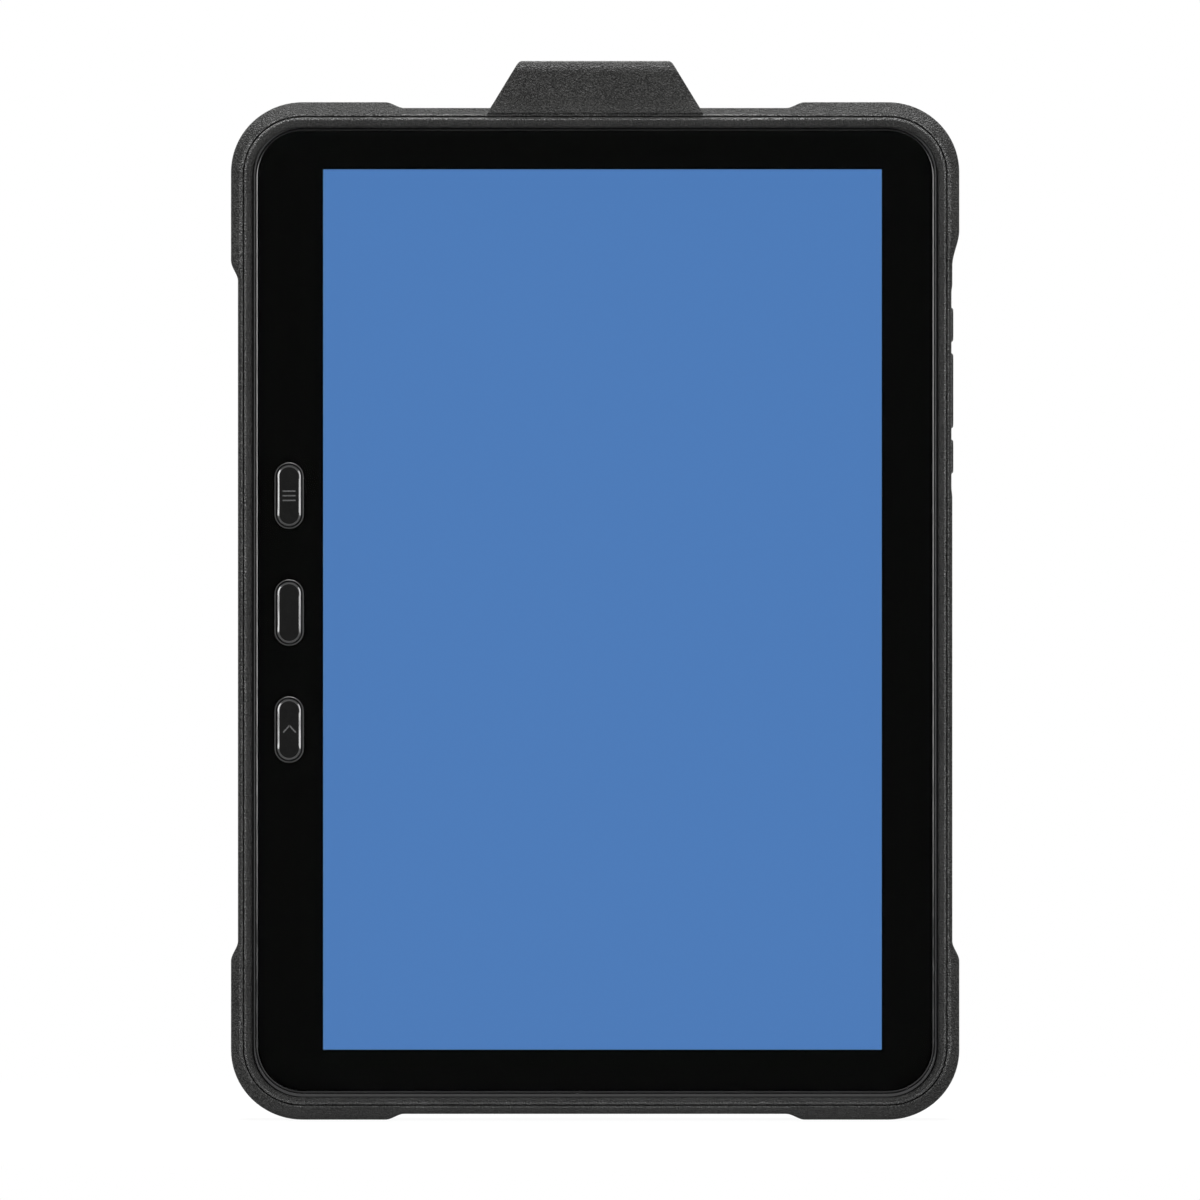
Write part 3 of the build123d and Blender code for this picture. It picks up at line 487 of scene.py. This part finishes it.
def woven(name, colour, roughness, pitch, relief):
    """Cloth: two crossed waves in relief, which also shade the colour, along the piece and across it.

    The pitch is in millimetres.
    """
    material, tree, shader, spot = started(name)
    shader.inputs["Roughness"].default_value = roughness
    shader.inputs["Sheen Weight"].default_value = 0.35
    waves = [pattern(tree, spot, "Wave", Scale=314.0 / pitch, Distortion=0.6, Detail=1.0) for _ in "XZ"]
    for wave, direction in zip(waves, "XZ"):
        wave.bands_direction = direction
    height = worked(tree, "MULTIPLY", waves[0].outputs["Fac"], waves[1].outputs["Fac"])
    embossed(tree, shader, height, relief)
    dark, light = [c * 0.55 for c in colour], [c * 1.3 for c in colour]
    tinted(tree, shader.inputs["Base Color"], height, dark, light)
    return material


strap_width, strap_half, strap_layer = 50.0, 0.86, 1.8
bow_radius, bow_centre, bow_chord = 110.5156, 82.3156, 63.05
fold_length, rib_pitch = 30.0, 3.2


def bowed(up, lift):
    """Depth of the arch at a height: a circle about the bow's centre, lifted off its inner face."""
    return bow_centre - np.sqrt((bow_radius + lift) ** 2 - np.asarray(up, float) ** 2)


def webbing_line():
    """Half of the webbing's middle line, as heights and depths: folded end, round the bar, and the bow."""
    folded = np.linspace(bow_chord - fold_length, 60.5, 16)
    over_bar = [(64.0, -11.3), (66.6, -10.1), (68.6, -9.45), (69.85, -8.5), (70.15, -6.9)]
    round_end = [(69.85, -5.4), (68.6, -4.55), (66.0, -4.5), (64.2, -4.55)]
    in_slot = [(63.25, -5.3), (63.05, -6.8), (62.95, -8.2), (62.3, -9.5)]
    loop_up, loop_depth = np.array(over_bar + round_end + in_slot).T
    bow = np.linspace(60.4, 0, 40)
    depths = [bowed(folded, 1.5 * strap_layer), loop_depth, bowed(bow, 0.5 * strap_layer)]
    return np.concatenate([folded, loop_up, bow]), np.concatenate(depths)


def rounded_line(up, depth, rounds=2):
    """Cuts each corner of a line at a quarter and three quarters of its two sides, and keeps its ends."""
    line = np.stack([up, depth], -1)
    for _ in range(rounds):
        near, far = 0.75 * line[:-1] + 0.25 * line[1:], 0.25 * line[:-1] + 0.75 * line[1:]
        line = np.concatenate([line[:1], np.stack([near, far], 1).reshape(-1, 2), line[-1:]])
    return line[:, 0], line[:, 1]


def ribbon(up, depth, width, half, rib):
    """A flat strip along a line: a section with rounded edges and ribs along it, set square to the line."""
    line = np.stack([up, depth], -1)
    along = np.gradient(line, axis=0)
    along /= np.linalg.norm(along, axis=1)[:, None]
    side = np.stack([-along[:, 1], along[:, 0]], -1)
    reach = width / 2 - half
    flat = np.linspace(1, -1, 61)[1:-1] * reach
    wave = half * (1 + rib * np.cos(flat * 2 * np.pi / rib_pitch))
    turn = np.radians(np.linspace(90, -90, 9))
    across = np.concatenate([flat, -reach - half * np.cos(turn), flat[::-1], reach + half * np.cos(turn)])
    thick = np.concatenate([wave, half * np.sin(turn), -wave[::-1], -half * np.sin(turn)])
    spots = line[:, None] + side[:, None] * thick[None, :, None]
    return place(np.broadcast_to(across, spots.shape[:2]), spots[..., 0], spots[..., 1])


half_up, half_depth = rounded_line(*webbing_line())
whole_up = np.concatenate([half_up, -half_up[-2::-1]])
whole_depth = np.concatenate([half_depth, half_depth[-2::-1]])
webbing_cloth = woven("elastic_webbing", (0.022, 0.022, 0.023), 0.85, 1.1, 0.00022)
strap_grid = ribbon(whole_up, whole_depth, strap_width, strap_half, 0.03)
strap = surface("woven_hand_strap", strap_grid, ring=False)
smooth(strap, angle=60)
fit(strap, webbing_cloth, "hand_strap_swivel", "webbing", "hand_strap")


def stitches(lines, long, thick):
    """Stitches along lines, given as start, end and number: each is a short spindle, pointed at its ends."""
    starts = np.concatenate([a + (b - a) * np.linspace(0, 1, n)[:, None] for a, b, n in lines])
    steps = np.concatenate([np.repeat(((b - a) / np.linalg.norm(b - a))[None], n, 0) for a, b, n in lines])
    turn = np.linspace(0, 2 * np.pi, 7)[:-1]
    rows = np.array([(-0.5, 0.05), (-0.38, 0.8), (0, 1.0), (0.38, 0.8), (0.5, 0.05)])
    outward = np.array([0.0, 0.0, -1.0])
    side = np.cross(steps, outward)
    ring_side, ring_out = np.cos(turn) * thick / 2, np.sin(turn) * thick / 2
    spots = starts[:, None, None] + steps[:, None, None] * (rows[:, 0] * long)[None, :, None, None]
    spots = spots + side[:, None, None] * (rows[:, 1][:, None] * ring_side)[None, ..., None]
    spots = spots + outward * (rows[:, 1][:, None] * ring_out)[None, ..., None]
    grids = [place(spot[..., 0], spot[..., 1], spot[..., 2]) for spot in spots]
    return [surface("stitch", grid, ring=False) for grid in grids]


seam_lines = []
seam_ups, seam_reach, seam_stitches = (48.6, 52.0, 55.4), 22.0, 17
for up in seam_ups:
    for end in (-1, 1):
        level = float(bowed(up, 2 * strap_layer + 0.02))
        ends = [np.array([side * seam_reach, end * up, level]) for side in (-1, 1)]
        seam_lines.append((*ends, seam_stitches))
thread = woven("bonded_thread", (0.05, 0.05, 0.052), 0.6, 0.3, 0.00004)
fit(joined("strap_stitching", stitches(seam_lines, 2.1, 0.55)), thread, "hand_strap_swivel", "webbing")

# ---------------------------------------------------------------- the hand pad and the pull tabs
# A cushion of foam in stretch cloth lies under the webbing, with a flat hem sewn round it. The tabs are
# rubber, moulded with cross ridges, and sit on the folded ends.
pad_width, pad_length, pad_thick, pad_gap = 60.0, 80.0, 3.6, 0.05


def pad_rows(inset, thin):
    """The cushion before it swells: a rounded slab bent to the bow, with its corners rounded in plan."""
    route = round_route(np.linspace(-1, 1, 34), np.linspace(-1, 1, 26), 10)
    shares = np.array([0.0, 0.2, 0.4, 0.6, 0.8, 0.94, 1.0, 1.0, 0.94, 0.8, 0.6, 0.4, 0.2, 0.0])
    levels = np.array([1.0, 1.0, 1.0, 1.0, 1.0, 0.96, 0.7, 0.3, 0.04, 0, 0, 0, 0, 0])
    x, y = carried(route, pad_width - 2 * inset, pad_length - 2 * inset, 9.0)
    x, y = x * shares[:, None], y * shares[:, None]
    lift = -pad_gap - pad_thick / 2 + (levels - 0.5) * (pad_thick - thin)
    return place(x, y, bowed(y, lift[:, None]))


def points_of(piece):
    """A piece's points, one row each."""
    points = np.empty(3 * len(piece.data.vertices))
    piece.data.vertices.foreach_get("co", points)
    return points.reshape(-1, 3)


def reshaped(piece, points):
    """Moves a piece's points."""
    piece.data.vertices.foreach_set("co", points.ravel())
    piece.data.update()


pad = surface("cushioned_hand_pad", pad_rows(1.4, 1.2), ring=False)
bpy.ops.object.select_all(action="DESELECT")
pad.select_set(True)
bpy.context.view_layer.objects.active = pad
pad.data.remesh_voxel_size = 0.0011
bpy.ops.object.voxel_remesh()
first = points_of(pad)
cloth = pad.modifiers.new("swell", "CLOTH")
cloth.settings.use_pressure = True
cloth.settings.uniform_pressure_force = 4.0
cloth.settings.effector_weights.gravity = 0
for moment in range(1, 21):
    bpy.context.scene.frame_set(moment)
swollen = pad.evaluated_get(bpy.context.evaluated_depsgraph_get()).to_mesh()
last = np.empty(3 * len(swollen.vertices))
swollen.vertices.foreach_get("co", last)
moved = last.reshape(-1, 3) - first
size = np.linalg.norm(moved, axis=1)[:, None]
cap = 0.9 * MM
pad.modifiers.clear()
bpy.context.scene.frame_set(1)
reshaped(pad, first + moved * np.minimum(1, cap / np.maximum(size, 1e-9)))


def channels(piece):
    """Presses two sewn channels along the pad and keeps it clear of the webbing behind it."""
    points = points_of(piece)
    up, depth = points[:, 2] / MM - MIDDLE, FLOOR - points[:, 1] / MM
    radius = np.hypot(up, bow_centre - depth)
    middle = bow_radius - pad_gap - pad_thick / 2
    dip = sum(np.exp(-(((points[:, 0] / MM - x) / 0.9) ** 2)) for x in (-15.0, 15.0))
    pressed = middle + (radius - middle) * (1 - 0.55 * np.clip(dip, 0, 1))
    pressed = np.clip(pressed, middle - pad_thick / 2 - 0.6, bow_radius - pad_gap)
    points[:, 2] = (MIDDLE + up * pressed / radius) * MM
    points[:, 1] = (FLOOR - bow_centre + (bow_centre - depth) * pressed / radius) * MM
    reshaped(piece, points)


channels(pad)
finer = pad.modifiers.new("finer", "SUBSURF")
finer.levels = finer.render_levels = 1
pad_cloth = woven("pad_mesh_cloth", (0.026, 0.026, 0.027), 0.9, 1.7, 0.0003)
smooth(pad, angle=180)
fit(pad, pad_cloth, "hand_strap_swivel", "pad_fabric", "hand_pad")

tab_width, tab_long, tab_thick, ridges = 44.0, 14.0, 1.2, 4


def tab_rows(end):
    """A pull tab: its section has cross ridges, a raised cosine, outside, and is narrowed at both sides."""
    start = bow_chord - fold_length
    up = np.linspace(start, start + tab_long, 49)
    share = (up - start) / tab_long
    ridge = 0.5 - 0.5 * np.cos(share * ridges * 2 * np.pi)
    ends = np.clip(np.sin(share * np.pi) * 6, 0.35, 1)
    crown = tab_thick * (0.42 + 0.55 * np.clip(ridge, 0, 1) ** 0.7) * ends
    low = 2 * strap_layer + pad_gap
    section_up = np.concatenate([up, up[::-1]])
    lift = np.concatenate([low + crown, np.full(49, low)])
    across = np.array([-1, -0.985, -0.96, -0.5, 0, 0.5, 0.96, 0.985, 1]) * tab_width / 2
    squeeze = np.array([0.35, 0.8, 1, 1, 1, 1, 1, 0.8, 0.35])[:, None]
    lift = low + (lift - low) * squeeze
    middle = start + tab_long / 2
    section_up = middle + (section_up - middle) * (0.97 + 0.03 * squeeze)
    return place(across[:, None], end * section_up, bowed(section_up, lift))


rubber = grained(
    "pull_tab_rubber", (0.018, 0.018, 0.018), 0.5, grain=1500.0, relief=0.00006, glint=0.3, fleck=0.3
)
for word, end in (("upper", 1), ("lower", -1)):
    tab = surface(word + "_pull_tab", tab_rows(end), ring=False)
    smooth(tab, angle=50)
    fit(tab, rubber, "hand_strap_swivel", "case_soft", *(["pull_tabs"] if end == 1 else []))

# ---------------------------------------------------------------- the tablet
# A ten-inch tablet in a satin plastic body: rear cover, front frame, chassis sheet, battery, board, the two
# sockets and the camera.
tablet_satin = grained(
    "tablet_satin_plastic", (0.05, 0.05, 0.052), 0.35, grain=1500.0, relief=0.00001, fleck=0.06
)
tablet_rim = grained(
    "tablet_rim_gloss", (0.012, 0.012, 0.0125), 0.14, grain=1500.0, relief=0.000002, glint=0.5, fleck=0.05
)
chassis_sheet = metal("rolled_chassis_sheet", (0.42, 0.42, 0.43), 0.4)
socket_metal = metal("bright_socket_metal", (0.6, 0.6, 0.6), 0.25)
pouch = grained("battery_pouch_foil", (0.09, 0.09, 0.1), 0.3, grain=400.0, relief=0.00004, fleck=0.1)
green = grained("board_green_lacquer", (0.01, 0.09, 0.03), 0.35, grain=900.0, relief=0.00003, fleck=0.3)
lens_black = grained("lens_black_glass", (0.006, 0.006, 0.008), 0.04, grain=500.0, relief=0.000001, fleck=0.1)
tablet_width, tablet_length, tablet_corner = 170.2, 241.6, 12.9
rim_inset, rim_band, rim_widening, rim_level = 0.5, 0.12, 0.3, 9.95
rim_inner, rim_fall = 0.98, 0.095


def widened(rim):
    """Widens the bevel round the frame's front, and lets the narrow land inside it fall towards the glass.

    The outline is a rounded rectangle, and a point's inset is the corner's radius less its distance from
    the inner rectangle.
    """
    points = points_of(rim)
    across, up, level = points[:, 0] / MM, points[:, 2] / MM - MIDDLE, FLOOR - points[:, 1] / MM
    beyond_x = abs(across) - (tablet_width / 2 - tablet_corner)
    beyond_y = abs(up) - (tablet_length / 2 - tablet_corner)
    reach_x = np.where((beyond_x > beyond_y) | (beyond_x > 0), np.maximum(beyond_x, 0), 0)
    reach_y = np.where((beyond_y > beyond_x) | (beyond_y > 0), np.maximum(beyond_y, 0), 0)
    reach = np.maximum(np.hypot(reach_x, reach_y), 1e-6)
    past = tablet_corner - reach - rim_inset
    shift = np.where((level > rim_level) & (abs(past) < rim_band), rim_widening - past / 2, 0) * MM
    points[:, 0] -= np.sign(across) * reach_x / reach * shift
    points[:, 2] -= np.sign(up) * reach_y / reach * shift
    inner = (level > rim_level) & (tablet_corner - reach > rim_inner)
    points[inner, 1] += rim_fall * MM
    reshaped(rim, points)


tablet_pieces = (
    ("tablet_rear_cover", "satin_rear_cover", 0.25, tablet_satin, "tablet_plastic"),
    ("tablet_frame", "gloss_front_frame", 0.08, tablet_rim, "tablet_gloss"),
    ("tablet_chassis", "chassis_sheet", 0.1, chassis_sheet, "chassis_metal"),
    ("battery", "battery_pouch_cell", 0.5, pouch, "battery_pouch"),
    ("main_board", "main_circuit_board", 0.08, green, "board_green"),
    ("usb_socket", "charging_socket", 0.12, socket_metal, "trim_metal"),
    ("audio_socket", "headset_socket", 0.12, tablet_satin, "tablet_plastic"),
    ("camera_bezel", "camera_bezel_ring", 0.15, socket_metal, "trim_metal"),
    ("camera_lens", "camera_lens_glass", 0.1, lens_black, "lens_glass"),
    ("flash_lens", "flash_lens_glass", 0.1, lens_black, "lens_glass"),
)
for node, name, edge, finish, slot in tablet_pieces:
    piece = softened(node, name, edge)
    fit(piece, finish, "tablet", slot, node)
    if node == "tablet_frame":
        widened(piece)

# ---------------------------------------------------------------- the screen
# A lit panel behind a black printed border, under one sheet of clear cover glass with a polished edge.


def lit_panel():
    """The panel's own even light, with the faint fine stripes of its pixel columns."""
    material, tree, shader, spot = started("lit_display_panel")
    shader.inputs["Base Color"].default_value = (0.01, 0.01, 0.012, 1)
    shader.inputs["Roughness"].default_value = 0.4
    shader.inputs["Emission Strength"].default_value = 1.0
    stripes = pattern(tree, spot, "Wave", Scale=1500.0).outputs["Fac"]
    dark, light = (0.0685, 0.184, 0.448), (0.0715, 0.192, 0.464)
    tinted(tree, shader.inputs["Emission Color"], stripes, dark, light)
    return material


def clear_glass():
    """Coated cover glass: clear, very smooth, with a weak reflection."""
    material, tree, shader, spot = started("coated_cover_glass")
    shader.inputs["Base Color"].default_value = (1, 1, 1, 1)
    shader.inputs["Transmission Weight"].default_value = 1.0
    shader.inputs["IOR"].default_value = 1.12
    haze = pattern(tree, spot, "Noise", Scale=30.0).outputs["Fac"]
    spread(tree, shader.inputs["Roughness"], haze, 0.0, 0.03)
    return material


def polished_edge(glass, finish, edge_foot, raised):
    """Tilts the sheet's flat bevel by raising its foot, and gives its faces the edge's own finish."""
    points = points_of(glass)
    level = FLOOR - points[:, 1] / MM
    points[(level > edge_foot - 0.2) & (level < edge_foot + 0.2), 1] -= raised * MM
    reshaped(glass, points)
    lean = faces_of(glass, "normal")[:, 1]
    finished(glass, finish, (lean < -0.5) & (lean > -0.985))


glass = softened("cover_glass", "cover_glass_sheet", 0.06, steps=2)
fit(glass, clear_glass(), "tablet", "clear_glass", "cover_glass")
edge_gloss = grained(
    "glass_edge_gloss", (0.008, 0.008, 0.0082), 0.14, grain=300.0, relief=0.000001, glint=0.5, fleck=0.1
)
polished_edge(glass, edge_gloss, edge_foot=9.65, raised=0.23)
print_black = grained(
    "black_border_print", (0.0018, 0.0018, 0.0016), 0.8, glint=0.0, grain=4000.0, relief=0.000002, fleck=0.1
)
fit(softened("bezel_mask", "printed_border", 0.02), print_black, "tablet", "black_print", "bezel_mask")
fit(softened("display_panel", "display_panel_sheet", 0.05), lit_panel(), "tablet", "display", "display_panel")

# ---------------------------------------------------------------- the keys beside the screen
# Three glossy pill-shaped keys in metal trims through the glass. The first carries three short lines and
# the last an open chevron, both printed.
key_width, key_length, key_x = 5.8, 15.0, -75.6
key_ups = {"recents": 28.5, "home": -0.4, "back": -29.3}
glass_front, key_top = 10.1, 10.25
key_bevel, bevel_drop, trim_gap, trim_wall = 0.5, 0.25, 0.1, 0.52


def pill_rows(up, insets, depths):
    """A pill-shaped outline drawn in by each inset at each depth, round one key's place."""
    insets = np.asarray(insets, float)
    route = round_route(np.linspace(-1, 1, 9), np.array([-1.0, 1.0]), 24)
    half = key_width / 2 - insets
    x, y = carried(route, 2 * half, key_length - 2 * insets, half * 0.999)
    return place(key_x + x, up + y, np.asarray(depths, float)[:, None])


def cap_rows(up):
    """A key cap: straight flank, flat polished bevel, and a face that is a touch lower in its middle."""
    half, shoulder = key_width / 2, key_top - bevel_drop
    insets = [0, 0, 0.03, key_bevel - 0.02, key_bevel + 0.06, key_bevel + 0.5, half - 0.6, half - 0.05]
    flank = [glass_front - 1.9, shoulder - 0.05, shoulder]
    face = [key_top - 0.01, key_top, key_top, key_top - 0.02, key_top - 0.02]
    return pill_rows(up, insets, flank + face)


def trim_rows(up):
    """A thin trim ring: its section runs up the outside, over a narrow rounded top and down the bore."""
    outer, bore = -(trim_gap + trim_wall), -trim_gap
    insets = [outer, outer, outer + 0.05, outer + 0.16, outer + 0.22, bore - 0.05, bore, bore]
    top = glass_front + 0.06
    return pill_rows(up, insets, [8.9, top - 0.05, top, top, top - 0.16, top - 0.16, top - 0.2, 8.9])


key_gloss = grained(
    "key_gloss_plastic", (0.0045, 0.0045, 0.0044), 0.3, grain=900.0, relief=0.000001, glint=0.05, fleck=0.1
)
polished = grained(
    "polished_key_bevel", (0.012, 0.012, 0.012), 0.15, grain=200.0, relief=0.000001, glint=0.6, fleck=0.1
)
trim_metal = metal("dark_trim_metal", (0.005, 0.005, 0.005), 0.35)
trim_crest = metal("bright_trim_crest", (0.11, 0.11, 0.11), 0.3)
for word, up in key_ups.items():
    cap = surface(word + "_key_cap", cap_rows(up), ring=False)
    smooth(cap, angle=25)
    fit(cap, key_gloss, word + "_key", "key_gloss", word + "_key")
    lean, front = faces_of(cap, "normal")[:, 1], faces_of(cap, "center")[:, 1]
    finished(cap, polished, (lean < -0.6) & (lean > -0.95) & (front < (FLOOR - glass_front + 0.3) * MM))
trims = [surface(word + "_key_trim", trim_rows(up)) for word, up in key_ups.items()]
for word, trim in zip(key_ups, trims):
    smooth(trim)
    fit(trim, trim_metal, "tablet", "trim_metal", *(["key_trims"] if word == "recents" else []))
    levels = FLOOR - faces_of(trim, "center")[:, 1] / MM
    finished(trim, trim_crest, levels > glass_front + 0.02)


def printed_bar(start, end, width):
    """A flat bar of print between two points of a key's face, a hair above it."""
    start, end = np.array(start, float), np.array(end, float)
    along = (end - start) / np.linalg.norm(end - start)
    side = np.array([-along[1], along[0]]) * width / 2
    corners = np.array([start - side, end - side, end + side, start + side])
    levels = np.array([key_top - 0.06, key_top + 0.012])[:, None]
    return place(corners[:, 0][None], corners[:, 1][None], np.broadcast_to(levels, (2, 4)))


mark_print = grained(
    "grey_mark_print", (0.05, 0.05, 0.05), 0.6, grain=3000.0, relief=0.000002, glint=0.2, fleck=0.15
)
bars = [((-77.2, up), (-74.0, up), 0.34) for up in (29.6, 28.47, 27.3)]
bars += [((-77.05, -30.0), (-75.46, -28.28), 0.36), ((-75.54, -28.28), (-73.95, -30.0), 0.36)]
for count, (start, end, wide) in enumerate(bars):
    mark = surface("key_mark_%d" % (count + 1), printed_bar(start, end, wide), ring=False)
    fit(mark, mark_print, "recents_key" if count < 3 else "back_key", "black_print")

# ---------------------------------------------------------------- the tablet's side keys
# Three satin keys in the tablet's right-hand edge, each behind its cover. The long one rocks on two stub
# pins.
pivot_across, pivot_up, pin_root, pin_share = 84.3, 54.5, 1.78, 0.9


def slimmed(key):
    """Draws the stub pins in towards the axis they turn on, so that they are free in their bores."""
    points = points_of(key)
    axis = np.array([pivot_across, MIDDLE + pivot_up]) * MM
    on_pin = np.ix_(abs(FLOOR - points[:, 1] / MM - cover_level) > pin_root, [0, 2])
    points[on_pin] = axis + pin_share * (points[on_pin] - axis)
    reshaped(key, points)


for word in ("power", "volume", "shortcut"):
    node = "tablet_" + word + "_key"
    key = softened(node, word + "_side_key", 0.15)
    fit(key, tablet_satin, node, "tablet_plastic", node)
    if word == "volume":
        slimmed(key)

# ---------------------------------------------------------------- the studio
# A pale floor, a soft panel overhead, an upright one at each side, a weak one behind, and a far camera
# level with the case's middle.
floor_reach, glow_full, glow_edge, least_glow = 3.0, 0.3, 0.09, 0.93
corners = [(x * floor_reach, y * floor_reach, 0) for x, y in ((-1, -1), (1, -1), (1, 1), (-1, 1))]
floor_mesh = bpy.data.meshes.new("floor")
floor_mesh.from_pydata(corners, [], [(0, 1, 2, 3)])
floor = bpy.data.objects.new("floor", floor_mesh)
bpy.context.collection.objects.link(floor)


def ray_share(tree, *kinds):
    """One value that is 1 for rays of any of these kinds and 0 for the others."""
    path = tree.nodes.new("ShaderNodeLightPath")
    share = path.outputs[kinds[0]]
    for kind in kinds[1:]:
        share = worked(tree, "MAXIMUM", share, path.outputs[kind])
    return share


def blended(tree, share, first, second, output):
    """Mixes two shaders by a share and puts them out."""
    mix = tree.nodes.new("ShaderNodeMixShader")
    for source, socket in zip((share, first, second), mix.inputs):
        tree.links.new(source, socket)
    tree.links.new(mix.outputs["Shader"], tree.nodes[output].inputs["Surface"])


floor_paint, tree, paint, spot = started("pale_floor")
paint.inputs["Base Color"].default_value = (0.8, 0.8, 0.8, 1)
paint.inputs["Roughness"].default_value = 0.9
paint.inputs["Specular IOR Level"].default_value = 0.1
glow = tree.nodes.new("ShaderNodeEmission")
glow.inputs["Color"].default_value = (1, 1, 1, 1)
away = tree.nodes.new("ShaderNodeVectorMath")
away.operation = "LENGTH"
tree.links.new(spot, away.inputs[0])
seen = tree.nodes.new("ShaderNodeMath")
seen.operation = "MULTIPLY"
tree.links.new(ray_share(tree, "Is Camera Ray", "Is Glossy Ray"), seen.inputs[0])
fade = spread(tree, seen.inputs[1], away.outputs["Value"], least_glow, 1.0, glow_edge, glow_full)
fade.interpolation_type = "SMOOTHSTEP"
blended(tree, seen.outputs[0], paint.outputs["BSDF"], glow.outputs["Emission"], "Material Output")
floor_mesh.materials.append(floor_paint)

studio = bpy.data.worlds.new("studio")
studio.use_nodes = True
bpy.context.scene.world = studio
tree = studio.node_tree
room, sweep = tree.nodes["Background"], tree.nodes.new("ShaderNodeBackground")
for light, strength in ((room, 0.35), (sweep, 1.0)):
    light.inputs["Color"].default_value = (1, 1, 1, 1)
    light.inputs["Strength"].default_value = strength
shown = ray_share(tree, "Is Glossy Ray", "Is Transmission Ray", "Is Camera Ray")
blended(tree, shown, room.outputs["Background"], sweep.outputs["Background"], "World Output")


def soft_panel(name, azimuth, elevation, distance, wide, tall, radiance):
    """An area lamp round the case's middle: azimuth 0 is the camera's side and 90 the right."""
    middle = Vector((0, 0, 0.13))
    a, e = math.radians(azimuth), math.radians(elevation)
    away = Vector((math.sin(a) * math.cos(e), -math.cos(a) * math.cos(e), math.sin(e)))
    lamp = bpy.data.lights.new(name, "AREA")
    lamp.shape, lamp.size, lamp.size_y = "RECTANGLE", wide, tall
    lamp.energy = radiance * math.pi * wide * tall
    panel = bpy.data.objects.new(name, lamp)
    bpy.context.collection.objects.link(panel)
    panel.location = middle + away * distance
    panel.rotation_euler = (-away).to_track_quat("-Z", "Y").to_euler()


soft_panel("overhead_panel", 0, 96, 1.2, 0.9, 0.9, 14.0)
soft_panel("left_strip", -49, 12, 1.4, 0.4, 0.8, 13.5)
soft_panel("right_strip", 46, 12, 1.4, 0.4, 0.8, 11.0)
soft_panel("back_panel", 180, 25, 1.5, 0.8, 0.6, 2.5)

frame_width, camera_distance, front_face = 0.2963, 3.0, -0.0205
lens_camera = bpy.data.cameras.new("camera")
lens_camera.sensor_width = 36.0
lens_camera.lens = 36.0 * camera_distance / frame_width
camera = bpy.data.objects.new("camera", lens_camera)
bpy.context.collection.objects.link(camera)
camera.location = (0.0012, front_face - camera_distance, 0.1285)
camera.rotation_euler = (math.pi / 2, 0, 0)
lens_camera.clip_start, lens_camera.clip_end = 0.1, 20.0
bpy.context.scene.camera = camera
bpy.context.scene.view_settings.view_transform = "Standard"
